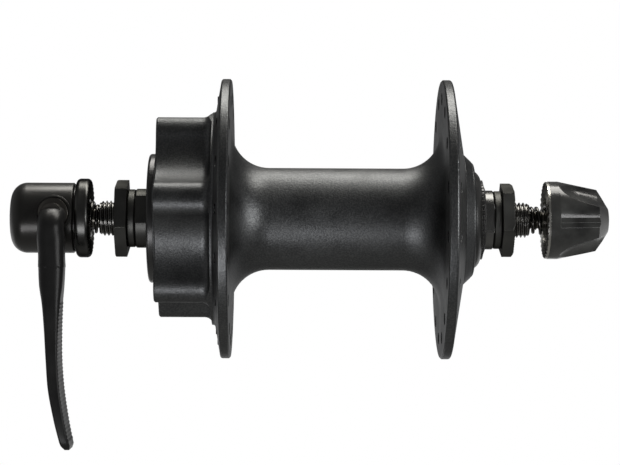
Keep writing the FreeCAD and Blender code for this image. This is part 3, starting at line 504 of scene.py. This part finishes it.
def set_round(one: Piece, radius: float, angles: list[float]) -> Piece:
    """Sets copies of a piece round the axle line and joins them.

    Args:
        one: The piece, on the axle line; it is used up, and its name is kept.
        radius: The circle's radius in millimetres.
        angles: Each copy's angle from the top towards the front, in degrees.

    Returns:
        The joined copies.
    """
    name = one.name
    copies = []
    for angle in map(math.radians, angles):
        copy = one.copy()
        copy.data = one.data.copy()
        bpy.context.collection.objects.link(copy)
        place = (0, -radius * MM * math.sin(angle), radius * MM * math.cos(angle))
        copy.data.transform(Matrix.Translation(place))
        copies.append(copy)
    bpy.data.objects.remove(one)
    take(copies[0])
    for copy in copies[1:]:
        copy.select_set(True)
    bpy.ops.object.join()
    copies[0].name = name
    return copies[0]


def merged_copy(node: str, name: str) -> Piece:
    """Copies a carried-over node as one closed mesh of its own, on no body.

    Args:
        node: The node's name.
        name: The copy's name.

    Returns:
        The copy.
    """
    leave_selection()
    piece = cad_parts[node].copy()
    piece.data = piece.data.copy()
    piece.parent = None
    piece.name = name
    for key in list(piece.keys()):
        del piece[key]
    bpy.context.collection.objects.link(piece)
    edit(piece)
    bpy.ops.mesh.customdata_custom_splitnormals_clear()
    bpy.ops.mesh.remove_doubles(threshold=SAME * MM)
    leave_edit()
    return piece


@dataclass
class Thread:
    """A rolled metric thread on the axle line, right-handed."""

    crest: float
    pitch: float
    start: float
    end: float
    steps: int = 32
    # The standard's depth as a share of the pitch, and turns wound beyond the cut ends.
    depth_share: float = 0.5413
    spare_turns: int = 3

    @property
    def root(self) -> float:
        """The radius between the crests."""
        return self.crest - self.depth_share * self.pitch

    def solid(self, name: str) -> Piece:
        """Winds one pitch of the profile along the line and cuts both ends square.

        Args:
            name: The new object's name.

        Returns:
            A closed threaded bar.
        """
        p = self.pitch
        root, crest = self.root, self.crest
        # A quarter of the pitch is flat root, and an eighth is flat crest.
        profile = [(0, root), (p / 4, root), (p * 9 / 16, crest), (p * 11 / 16, crest), (p, root)]
        begin = self.start - self.spare_turns / 2 * p
        turns = math.ceil((self.end - self.start) / p) + self.spare_turns
        piece = outline(name, [(begin + x, r) for x, r in profile])
        run_modifier(
            piece, "SCREW", axis="X", angle=TURN, screw_offset=p * MM, iterations=turns,
            steps=self.steps, render_steps=self.steps,
        )
        edit(piece)
        bpy.ops.mesh.remove_doubles(threshold=SAME_WOUND * MM)
        for place, way in ((self.start, -1), (self.end, 1)):
            bpy.ops.mesh.select_all(action="SELECT")
            trim((place, 0, 0), (way, 0, 0))
        settle(piece)
        return piece


def dress(node: str, finish: Finish) -> None:
    """Gives a carried-over node its finish.

    Args:
        node: The node's name.
        finish: What it is made of.
    """
    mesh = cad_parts[node].data
    mesh.materials.clear()
    mesh.materials.append(finish.material())
    log.info("%s: %s", node, finish.title)


def hand_over(
    piece: Piece, body: str | None, finish: Finish, nodes: tuple[str, ...] = (),
    angle: float = 35.0,
) -> None:
    """Smooths a new piece, dresses it and lets it ride on its body.

    Args:
        piece: The finished piece, in place.
        body: The body that carries it, or none.
        finish: What it is made of.
        nodes: The nodes that it stands for.
        angle: The least angle of an edge that stays sharp, in degrees.
    """
    take(piece)
    bpy.ops.object.shade_smooth_by_angle(angle=math.radians(angle))
    piece.data.materials.clear()
    piece.data.materials.append(finish.material())
    if body:
        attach(piece, body)
    if nodes:
        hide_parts(*nodes)
    log.info("%s: %d faces, %s", piece.name, len(piece.data.polygons), finish.title)


@dataclass
class HubShell:
    """The turning body: shell, caps, cups, balls, seal ring, tapped holes and spoke holes."""

    mount_face: float = -39.5
    hole_depth: float = 11.6
    hole_radius: float = 2.1
    thread_inner: float = 1.86
    pitch: float = 0.8
    bolt_circle: float = 44.0
    first_hole: float = 18.4
    holes: int = 6
    spoke_circle: float = 61.0
    spoke_holes: int = 16
    spoke_hole_radius: float = 1.3
    lining_wall: float = 0.1
    lip_rise: float = 0.06
    lip_width: float = 0.2
    # The bolt thread: how deep it sits in the hole's wall, where it starts under the mount's face, and
    # one flank as a share of the pitch.
    thread_sunk: float = 0.03
    thread_start: float = 0.5
    flank_share: float = 0.42
    thread_steps: int = 20
    # For each flange: its side, its inner face and the linings' ends along the axle, and its first hole's
    # angle from the top towards the back, in degrees.
    flanges: tuple[tuple[str, float, float, float], ...] = (
        ("left", -21.0, -24.25, 4.2),
        ("right", 31.75, 34.6, 14.5),
    )
    # The slope between the right flange and its boss, with a foot that reaches into both.
    collar: tuple[Corner, ...] = (
        (37.25, 16.65), (38.3, 15.65), (39.25, 14.75), (39.3, 14.3), (37.5, 14.3),
    )

    def boss_threads(self) -> Piece:
        """The thread in each tapped hole, wound once and set round the bolt circle.

        Returns:
            All six as one piece.
        """
        p = self.pitch
        flank = p * self.flank_share
        wall = self.hole_radius + self.thread_sunk
        begin = self.mount_face + self.thread_start
        corners = [(begin - flank, wall), (begin, self.thread_inner), (begin + flank, wall)]
        one = outline("boss_threads", corners + corners[:1])
        run_modifier(
            one, "SCREW", axis="X", angle=TURN, screw_offset=p * MM,
            iterations=int(self.hole_depth / p), steps=self.thread_steps, render_steps=self.thread_steps,
        )
        edit(one)
        bpy.ops.mesh.remove_doubles(threshold=SAME_WOUND * MM)
        close_ends(one)
        angles = [self.first_hole + 360 / self.holes * i for i in range(self.holes)]
        return set_round(one, self.bolt_circle / 2, angles)

    def hole_shade_linings(self, side: str, inner: float, outer: float, first: float) -> Piece:
        """A dark lining on the wall of each spoke hole, with a dark lip on the flange's inner face:
        painted shade.

        Args:
            side: left or right.
            inner: Where the flange's inner face lies along the axle.
            outer: Where the linings end, about at its outer face.
            first: The first hole's angle from the top towards the back, in degrees.

        Returns:
            All the flange's linings as one piece.
        """
        way = math.copysign(1, outer - inner)
        top = inner - self.lip_rise * way
        wall = self.spoke_hole_radius
        bore = wall - self.lining_wall
        lip = wall + self.lip_width
        corners = [(top, lip), (top, bore), (outer, bore), (outer, wall), (inner, wall), (inner, lip)]
        one = turned(f"spoke_hole_shade_{side}", corners, steps=16)
        angles = [-first - 360 / self.spoke_holes * i for i in range(self.spoke_holes)]
        return set_round(one, self.spoke_circle / 2, angles)

    def build(self) -> None:
        """Dresses the shell's nodes, and adds the threads, the spoke holes' dark linings of painted shade
        and the right collar.
        """
        dress("hub_shell", SHELL)
        for side, inner, outer, first in self.flanges:
            # Painted shade in the spoke holes: a dark lining and lip for each.
            linings = self.hole_shade_linings(side, inner, outer, first)
            hand_over(linings, "shell", HOLE_SHADE)
        collar = turned("boss_collar_right", list(self.collar), steps=96)
        hand_over(collar, "shell", SHELL)
        for side in ("left", "right"):
            dress(f"dust_cap_{side}", CAP)
            dress(f"bearing_cup_{side}", RACE)
            dress(f"balls_{side}", BALL)
        dress("seal_ring_right", CAP)
        hand_over(self.boss_threads(), "shell", SHELL)


@dataclass
class AxleSet:
    """What the fork holds still: the hollow threaded axle, cones, seals, washers and locknuts."""

    end: float = 54.1
    crest: float = 4.45
    pitch: float = 1.0
    bore: float = 2.75
    taper: float = 1.1
    drop: float = 0.6
    seat_radius: float = 3.55
    seat_depth: float = 1.45
    nut_start: float = 47.0
    nut_end: float = 50.0
    nut_bore: float = 4.5
    nut_teeth: int = 60
    tooth_depth: float = 0.22
    tooth_inner: float = 5.4
    tooth_outer: float = 8.6
    # The plain land beside the teeth, the chamfer's fall over its length, and the hexagon bar's length.
    tooth_land: float = 0.15
    chamfer_slope: float = 1.4
    hexagon_length: float = 8.0
    # How far the threaded bar is wound past the axle's ends, and how far a blank clears what it cuts.
    overrun: float = 0.4
    clearance: float = 0.05
    hexagon_clearance: float = 0.5
    # For each locknut: its side, a corner's angle above the front in degrees, the radius over its
    # corners, and its chamfer's length.
    nuts: tuple[tuple[str, float, float, float], ...] = (
        ("left", 46.8, 10.15, 0.3),
        ("right", 44.4, 9.6, 0.6),
    )

    def axle(self) -> Piece:
        """The threaded bar met with a bored, tapered blank that has the right spring's seat.

        Returns:
            The axle.
        """
        over = self.crest + self.clearance
        low = self.crest - self.drop
        corners = [
            (-self.end, self.bore), (-self.end, low), (-self.end + self.taper, over),
            (self.end - self.taper, over), (self.end, low), (self.end, self.seat_radius),
            (self.end - self.seat_depth, self.seat_radius), (self.end - self.seat_depth, self.bore),
        ]
        wound = self.end + self.overrun
        piece = Thread(self.crest, self.pitch, -wound, wound).solid("axle_threaded")
        shape_with(piece, turned("axle_blank", corners, steps=64), "INTERSECT")
        settle(piece)
        return piece

    def locknut(self, side: str, corner_angle: float, corner: float, drop: float) -> Piece:
        """A hexagon met with a turned blank that has the bore, the chamfer and the teeth.

        Args:
            side: left or right.
            corner_angle: One corner's angle above the front, in degrees.
            corner: Radius over the corners.
            drop: Length of the chamfer on the outer side.

        Returns:
            The locknut.
        """
        way = -1 if side == "left" else 1
        start, end = self.nut_start, self.nut_end
        over = corner + self.hexagon_clearance
        band = self.tooth_outer + self.tooth_land
        corners = [
            (start, self.nut_bore), (start, over), (end - drop, over), (end - drop, corner),
            (end, corner - self.chamfer_slope * drop), (end, band), (end, self.tooth_outer),
            (end, self.tooth_inner), (end, self.tooth_inner - self.tooth_land), (end, self.nut_bore),
        ]
        blank = turned(f"nut_blank_{side}", [(way * x, r) for x, r in corners], 2 * self.nut_teeth)
        edit(blank, "DESELECT")
        leave_edit()
        step = TURN / (2 * self.nut_teeth)
        for vertex in blank.data.vertices:
            x, y, z = vertex.co
            reach = math.hypot(y, z) / MM
            on_teeth = self.tooth_inner - NEAR < reach < self.tooth_outer + NEAR
            outside = abs(x) / MM > end - NEAR
            every_other = round(math.atan2(y, z) / step) % 2 == 1
            vertex.select = on_teeth and outside and every_other
        bpy.ops.object.mode_set(mode="EDIT")
        bpy.ops.transform.translate(value=(-way * self.tooth_depth * MM, 0, 0))
        leave_edit()
        leave_selection()
        bpy.ops.mesh.primitive_cylinder_add(
            vertices=6, radius=corner * MM, depth=self.hexagon_length * MM, location=(0, 0, 0)
        )
        piece = bpy.context.object
        piece.name = f"locknut_{side}_toothed"
        lay = Matrix.Rotation(-math.radians(corner_angle), 4, "X") @ Matrix.Rotation(TURN / 4, 4, "Y")
        piece.data.transform(Matrix.Translation((way * (start + end) / 2 * MM, 0, 0)) @ lay)
        shape_with(piece, blank, "INTERSECT")
        settle(piece)
        return piece

    def build(self) -> None:
        """Dresses the axle set, threads the axle and cuts the locknuts' teeth."""
        for side, corner_angle, corner, drop in self.nuts:
            nut = self.locknut(side, corner_angle, corner, drop)
            hand_over(nut, "axle_set", OXIDE, (f"locknut_{side}",), angle=25.0)
        dress("cone_left", OXIDE)
        dress("cone_right", CONE)
        for side in ("left", "right"):
            dress(f"cone_seal_{side}", RUBBER)
            dress(f"washer_{side}", OXIDE)
        hand_over(self.axle(), "axle_set", AXLE, ("axle",), angle=25.0)


@dataclass
class ConicalSpring:
    """Round wire wound in a cone from its narrow end, with turns that close up at both ends."""

    name: str
    narrow_x: float
    wide_x: float
    turns: float
    wide_radius: float
    narrow_radius: float = 3.05
    # The share of the wire, from the narrow end, that is wound without widening.
    closed_share: float = 0.0
    wire: float = 0.85
    per_turn: int = 48
    # How far the turns close up at both ends, from 0 to 1.
    crowding: float = 0.5

    def build(self, bodies: tuple[str, str], node: str) -> None:
        """Winds the wire.

        Args:
            bodies: The body at the narrow end and the one at the wide end. Not used.
            node: The node that it stands for.
        """
        curve = bpy.data.curves.new(self.name, "CURVE")
        curve.dimensions = "3D"
        curve.bevel_depth = self.wire / 2 * MM
        curve.bevel_resolution = 3
        curve.use_fill_caps = True
        spline = curve.splines.new("POLY")
        count = int(self.turns * self.per_turn)
        spline.points.add(count)
        for i in range(count + 1):
            share = i / count
            climb = share - self.crowding * math.sin(TURN * share) / TURN
            widening = max(0.0, (share - self.closed_share) / (1 - self.closed_share))
            radius = self.narrow_radius + (self.wide_radius - self.narrow_radius) * widening
            angle = TURN * self.turns * share
            x = self.narrow_x + (self.wide_x - self.narrow_x) * climb
            y, z = -radius * math.sin(angle), radius * math.cos(angle)
            spline.points[i].co = (x * MM, y * MM, z * MM, 1)
        piece = bpy.data.objects.new(self.name, curve)
        bpy.context.collection.objects.link(piece)
        take(piece)
        bpy.ops.object.convert(target="MESH")
        piece = bpy.context.object
        settle(piece)
        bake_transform(piece)
        hand_over(piece, None, SPRING, (node,), angle=40.0)


@dataclass
class Lever:
    """The forged lever: the solid's elbow with a new paddle, which is knurled on its inner side."""

    arm_y: float = -13.56
    rings: int = 48
    arc_steps: int = 4
    wide_steps: int = 10
    edge_steps: int = 2
    # The least flat between a section's corners, and how far the elbow reaches into the paddle.
    least_flat: float = 0.05
    overlap: float = 1.0
    # The elbow's top over the pivot, the solid's own, and where under the pivot the flattening begins.
    elbow_top: float = 1.9
    solid_top: float = 3.7
    drop_start: float = 3.0
    knurl_start: float = 22.0
    knurl_end: float = 56.5
    knurl_rise: float = 0.15
    knurl_facing: float = 0.93
    # Stations: height under the pivot, outer and inner edge along the axle, middle and half width
    # towards the back, corner radius.
    stations: tuple[tuple[float, ...], ...] = (
        (12.4, -2.88, 3.58, 0.04, 3.95, 2.55),
        (17.9, -2.55, 3.25, 0.2, 4.35, 2.1),
        (22.4, -1.77, 2.72, 0.6, 4.95, 1.4),
        (28.7, -1.13, 2.32, 1.15, 5.6, 0.75),
        (36.1, -0.63, 2.25, 1.45, 6.05, 0.5),
        (43.5, -0.03, 2.77, 1.6, 6.2, 0.45),
        (50.9, 1.4, 3.88, 1.6, 6.1, 0.45),
        (55.4, 2.5, 4.8, 1.6, 5.75, 0.5),
        (57.25, 3.05, 5.35, 1.6, 5.2, 0.55),
        (58.2, 3.9, 5.1, 1.6, 4.3, 0.4),
    )

    def station(self, down: float) -> list[float]:
        """The section at a height, on a smooth curve through the stations.

        Args:
            down: Height under the pivot.

        Returns:
            Outer edge, inner edge, middle, half width and corner radius.
        """
        rows = self.stations
        last = len(rows) - 2
        at = max(i for i in range(last + 1) if rows[i][0] <= down + SAME)
        before, here = rows[max(at - 1, 0)], rows[at]
        there, after = rows[at + 1], rows[min(at + 2, last + 1)]
        span = there[0] - here[0]
        t = (down - here[0]) / span
        values = []
        # Each value runs on a cubic, whose slope at a station is that between the stations beside it.
        for a, b, c, d in list(zip(before, here, there, after))[1:]:
            slope_b = (c - a) / (there[0] - before[0]) * span
            slope_c = (d - b) / (after[0] - here[0]) * span
            low = (2 * t**3 - 3 * t**2 + 1) * b + (t**3 - 2 * t**2 + t) * slope_b
            high = (3 * t**2 - 2 * t**3) * c + (t**3 - t**2) * slope_c
            values.append(low + high)
        return values

    def ring(self, half_x: float, half_y: float, corner: float) -> list[Corner]:
        """Points round a rounded rectangle, evenly spaced on each side.

        Args:
            half_x: Half its size along the axle.
            half_y: Half its size towards the back.
            corner: The corners' radius.

        Returns:
            The points, once round.
        """
        points = []
        for quarter in range(4):
            turn = quarter * TURN / 4
            sign_x = 1 if quarter in (0, 3) else -1
            sign_y = 1 if quarter in (0, 1) else -1
            for i in range(self.arc_steps + 1):
                angle = turn + TURN / 4 * i / self.arc_steps
                x = sign_x * (half_x - corner) + corner * math.cos(angle)
                y = sign_y * (half_y - corner) + corner * math.sin(angle)
                points.append((x, y))
            across = quarter in (0, 2)
            steps = self.edge_steps if across else self.wide_steps
            reach = 2 * ((half_x if across else half_y) - corner)
            ahead = turn + TURN / 4
            for i in range(1, steps):
                along = reach * i / steps
                points.append((x - along * math.sin(ahead), y + along * math.cos(ahead)))
        return points

    def paddle(self) -> Piece:
        """A ring extruded downwards, pressed to the stations, closed, and knurled inside.

        Returns:
            The paddle.
        """
        # A ring of any size has the same count of points.
        count = len(self.ring(1.0, 1.0, 0.5))
        top, tip = self.stations[0][0], self.stations[-1][0]
        step = (tip - top) / self.rings
        leave_selection()
        bpy.ops.mesh.primitive_circle_add(vertices=count, radius=MM, location=(0, 0, 0))
        piece = bpy.context.object
        piece.name = "lever_paddle"
        edit(piece)
        for _ in range(self.rings):
            bpy.ops.mesh.extrude_region_move(TRANSFORM_OT_translate={"value": (0, 0, -step * MM)})
        leave_edit()
        for vertex in piece.data.vertices:
            down = top + min(round(-vertex.co.z / MM / step), self.rings) * step
            left, right, middle, half, corner = self.station(min(down, tip))
            thick = (right - left) / 2
            x, y = self.ring(thick, half, min(corner, thick - self.least_flat))[vertex.index % count]
            vertex.co.x = (PIVOT[0] + (left + right) / 2 + x) * MM
            vertex.co.y = (self.arm_y + middle + y) * MM
            vertex.co.z = (PIVOT[1] - down) * MM
        close_ends(piece)
        edit(piece, "DESELECT")
        bpy.ops.mesh.select_mode(type="FACE")
        leave_edit()
        for face in piece.data.polygons:
            depth = PIVOT[1] - face.center.z / MM
            inner = face.normal.x > self.knurl_facing and self.knurl_start < depth < self.knurl_end
            face.select = inner and len(face.vertices) == 4
        bpy.ops.object.mode_set(mode="EDIT")
        bpy.ops.mesh.poke(offset=self.knurl_rise * MM)
        leave_edit()
        return piece

    def build(self) -> None:
        """Flattens the elbow taken from the solid and joins it with the new paddle."""
        piece = merged_copy("lever", "lever_knurled")
        edit(piece)
        cut = PIVOT[1] - self.stations[0][0] - self.overlap
        trim((0, 0, cut), (0, 0, -1))
        leave_edit()
        base = (PIVOT[1] - self.drop_start) * MM
        share = (self.elbow_top + self.drop_start) / (self.solid_top + self.drop_start)
        for vertex in piece.data.vertices:
            if vertex.co.z > base:
                vertex.co.z = base + (vertex.co.z - base) * share
        shape_with(piece, self.paddle(), "UNION")
        settle(piece)
        hand_over(piece, "cam_lever", LEVER, ("lever",), angle=28.0)


@dataclass
class QuickRelease:
    """The skewer: cam housing, lever, clamping ring, rod and both springs."""

    rod_end: float = 70.6
    thread_start: float = 44.6
    rod_radius: float = 2.5
    pitch: float = 0.8
    end_taper: float = 0.7
    # How far the thread runs into the plain rod and past the rod's end, and how far its blank clears it.
    overlap: float = 0.4
    overrun: float = 0.3
    clearance: float = 0.05
    housing_radius: float = 8.86
    lip_radius: float = 4.5
    lip_bore: float = 3.85
    lip_rise: float = 0.35
    # How far the lip's tube reaches inside and outside the housing's skin, and how deep the skin is that
    # it is met with, and how long to each side of the pivot.
    tube_inside: float = 2.5
    tube_outside: float = 1.0
    skin_depth: float = 0.3
    skin_reach: float = 6.0

    def bush_lip(self) -> Piece:
        """The raised lip round the lever's shaft: a short tube met with a skin of the housing.

        Returns:
            The lip.
        """
        bore, wall = self.lip_bore, self.lip_radius
        begin, end = self.housing_radius - self.tube_inside, self.housing_radius + self.tube_outside
        piece = turned("bush_lip", [(begin, bore), (end, bore), (end, wall), (begin, wall)], steps=64)
        place = Matrix.Translation((PIVOT[0] * MM, 0, PIVOT[1] * MM))
        piece.data.transform(place @ Matrix.Rotation(-TURN / 4, 4, "Z"))
        low, high = self.housing_radius - self.skin_depth, self.housing_radius + self.lip_rise
        left, right = PIVOT[0] - self.skin_reach, PIVOT[0] + self.skin_reach
        skin = turned("lip_skin", [(left, low), (right, low), (right, high), (left, high)], steps=180)
        shape_with(piece, skin, "INTERSECT")
        settle(piece)
        return piece

    def rod(self) -> Piece:
        """The eye and plain rod from the solid, joined with a threaded end.

        Returns:
            The rod.
        """
        piece = merged_copy("skewer_rod", "skewer_rod_threaded")
        edit(piece)
        trim((self.thread_start, 0, 0), (1, 0, 0))
        leave_edit()
        start, end = self.thread_start - self.overlap, self.rod_end
        thread = Thread(self.rod_radius, self.pitch, start, end + self.overrun).solid("rod_thread")
        first = start - 2 * self.clearance
        low = self.rod_radius - self.end_taper
        over = self.rod_radius + self.clearance
        corners = [(first, 0.0), (first, over), (end - self.end_taper, over), (end, low), (end, 0.0)]
        blank = turned("rod_blank", corners, steps=48)
        shape_with(thread, blank, "INTERSECT")
        shape_with(piece, thread, "UNION")
        settle(piece)
        return piece

    def build(self) -> None:
        """Dresses the skewer's nodes, and adds the lever, the lip, the rod and the springs."""
        dress("lever_housing", HOUSING)
        dress("clamp_ring", RING)
        dress("cam_bushes", BUSH)
        dress("cam_shaft", CAM)
        dress("cam_cap", CAM)
        Lever().build()
        hand_over(self.bush_lip(), "cam_housing", HOUSING)
        hand_over(self.rod(), "rod", ROD, ("skewer_rod",), angle=25.0)
        left = ConicalSpring(
            "spring_left_wound", narrow_x=-54.675, wide_x=-57.025, turns=2.0, wide_radius=4.75
        )
        left.build(("axle_set", "float_spring"), "spring_left")
        right = ConicalSpring(
            "spring_right_wound", narrow_x=54.675, wide_x=62.225, turns=4.0, wide_radius=4.9,
            closed_share=0.27,
        )
        right.build(("rod", "nut_spring"), "spring_right")


class NutSet:
    """The grip nut with its steel insert and nylon ring."""

    def build(self) -> None:
        """Dresses the nut's nodes."""
        dress("adjusting_nut", NUT)
        dress("nut_insert", ZINC)
        dress("lock_ring", NYLON)


@dataclass
class SoftLight:
    """A plain soft lamp that faces the hub. Its place and size are in metres."""

    name: str
    place: Place
    size: Corner
    power: float
    colour: str = "#ffffff"

    def build(self) -> None:
        """Adds the lamp."""
        turn = Vector(self.place).to_track_quat("Z", "Y").to_euler()
        bpy.ops.object.light_add(type="AREA", location=self.place, rotation=turn)
        lamp = bpy.context.object
        lamp.name = self.name
        lamp.data.shape = "RECTANGLE"
        lamp.data.size = self.size[0]
        lamp.data.size_y = self.size[1]
        lamp.data.energy = self.power
        lamp.data.color = linear(self.colour)[:3]


# As sockets of a MapRange node: where along the directions to the back, up and to a side the
# background's levels begin and are whole.
BACK_RUN = {1: 0.15, 2: 0.6}
LOW_RUN = {1: 0.15, 2: -0.1}
SIDE_RUN = {1: 0.6, 2: 0.95}


@dataclass
class Studio:
    """Camera, lamps, background and floor."""

    lens: float = 127.6
    camera_x: float = -5.0
    distance: float = 555.0
    height: float = -3.38
    yaw: float = -0.399
    roll: float = 0.29
    floor_z: float = -0.9
    floor_radius: float = 2.4
    # The paper's grain and relief in millimetres, how much of its white shows without light, and how much
    # of that the hub's gloss sees.
    paper_grain: float = 1.5
    paper_relief: float = 0.02
    paper_white: float = 0.7
    paper_gloss: float = 0.05
    # How bright the background is to the hub's gloss low behind the hub and at the far sides, and to all
    # other light.
    horizon_level: float = 0.55
    side_level: float = 0.34
    fill_level: float = 0.12
    lamps: tuple[SoftLight, ...] = (
        SoftLight("lamp_above", (0.08, 0.13, 0.48), (0.5, 0.24), 3.35, "#fffcf6"),
        SoftLight("lamp_low_front", (-0.15, -0.35, -0.25), (0.28, 0.14), 0.84, "#fcfcff"),
        SoftLight("lamp_right", (0.36, -0.34, 0.035), (0.26, 0.2), 1.5),
    )

    def camera(self) -> None:
        """Adds the camera at the photograph's place."""
        turn = (
            Matrix.Rotation(math.radians(self.yaw), 3, "Z")
            @ Matrix.Rotation(TURN / 4, 3, "X")
            @ Matrix.Rotation(math.radians(self.roll), 3, "Z")
        )
        place = (self.camera_x * MM, -self.distance * MM, self.height * MM)
        bpy.ops.object.camera_add(location=place, rotation=turn.to_euler())
        camera = bpy.context.object
        camera.data.lens = self.lens
        camera.data.sensor_width = 36
        camera.data.clip_start = 0.01
        bpy.context.scene.camera = camera

    def rays(self, tree: Tree) -> tuple[bpy.types.Node, bpy.types.Node]:
        """Adds the light path, and the share of its rays that see a surface itself."""
        path = add_node(tree, "LightPath")
        sight = {0: path.outputs["Is Camera Ray"], 1: path.outputs["Is Transmission Ray"]}
        return path, add_node(tree, "Math", sight, operation="MAXIMUM")

    def world(self) -> None:
        """A white background, which the gloss sees dimmed and brightest low behind, and an even fill."""
        world = bpy.data.worlds.new("studio white")
        world.use_nodes = True
        tree = world.node_tree
        tree.nodes.clear()
        path, seen = self.rays(tree)
        way = add_node(tree, "SeparateXYZ", {0: add_node(tree, "TexCoord").outputs["Generated"]})
        behind = add_node(tree, "MapRange", BACK_RUN | {"Value": way.outputs["Y"]})
        low = add_node(tree, "MapRange", LOW_RUN | {"Value": way.outputs["Z"]})
        both = add_node(tree, "Math", {0: behind, 1: low}, operation="MULTIPLY")
        aside = add_node(tree, "Math", {0: way.outputs["X"]}, operation="ABSOLUTE")
        levels = {3: self.fill_level, 4: self.side_level}
        sides = add_node(tree, "MapRange", SIDE_RUN | levels | {"Value": aside})
        sum_up = {0: both, 1: self.horizon_level, 2: sides}
        sweep = add_node(tree, "Math", sum_up, operation="MULTIPLY_ADD")
        gloss = add_node(tree, "Math", {0: path.outputs["Is Glossy Ray"], 1: sweep}, operation="MULTIPLY")
        level = add_node(tree, "Math", {0: seen, 1: gloss}, operation="MAXIMUM")
        level = add_node(tree, "Math", {0: level, 1: self.fill_level}, operation="MAXIMUM")
        light = add_node(tree, "Background", {"Color": linear("#ffffff"), "Strength": level})
        add_node(tree, "OutputWorld", {"Surface": light})
        bpy.context.scene.world = world

    def floor(self) -> None:
        """A pale round floor well under the hub, with its rim faded out."""
        leave_selection()
        bpy.ops.mesh.primitive_circle_add(
            vertices=96, radius=self.floor_radius, fill_type="NGON", location=(0, 0, 0)
        )
        piece = bpy.context.object
        piece.name = "studio_floor"
        piece.data.transform(Matrix.Translation((0, 0, self.floor_z)))
        material = bpy.data.materials.new("paper white matt")
        material.use_nodes = True
        tree = material.node_tree
        tree.nodes.clear()
        place = add_node(tree, "TexCoord").outputs["Object"]
        flat = add_node(tree, "VectorMath", {0: place, 1: (1, 1, 0)}, operation="MULTIPLY")
        reach = add_node(tree, "VectorMath", {0: flat}, operation="LENGTH")
        fade = {"Value": reach, 1: self.floor_radius, 2: self.floor_radius / 2}
        solid = add_node(tree, "MapRange", fade, interpolation_type="SMOOTHSTEP")
        scale = 1 / (self.paper_grain * MM)
        fibre = add_node(tree, "TexNoise", {"Vector": place, "Scale": scale, "Detail": 3.0})
        bump = add_node(tree, "Bump", {"Height": fibre, "Distance": self.paper_relief * MM})
        matt = {"Base Color": linear("#f4f4f2"), "Roughness": 0.9, "Alpha": solid, "Normal": bump}
        shader = add_node(tree, "BsdfPrincipled", matt)
        path, seen = self.rays(tree)
        sum_up = {0: path.outputs["Is Glossy Ray"], 1: self.paper_gloss, 2: seen}
        lift = add_node(tree, "Math", sum_up, operation="MULTIPLY_ADD")
        share = add_node(tree, "Math", {0: lift, 1: solid}, operation="MULTIPLY")
        share = add_node(tree, "Math", {0: share, 1: self.paper_white}, operation="MULTIPLY")
        white = add_node(tree, "Emission")
        paper = add_node(tree, "MixShader", {0: share, 1: shader, 2: white})
        add_node(tree, "OutputMaterial", {"Surface": paper})
        piece.data.materials.append(material)

    def build(self) -> None:
        """Sets up the whole studio."""
        self.camera()
        self.world()
        self.floor()
        for lamp in self.lamps:
            lamp.build()
        bpy.context.scene.view_settings.view_transform = "Standard"


def main() -> None:
    """Builds the hub, piece by piece, and the studio round it."""
    logging.basicConfig(level=logging.INFO, format="%(message)s")
    Studio().build()
    HubShell().build()
    AxleSet().build()
    QuickRelease().build()
    NutSet().build()


if __name__ == "__main__":
    main()
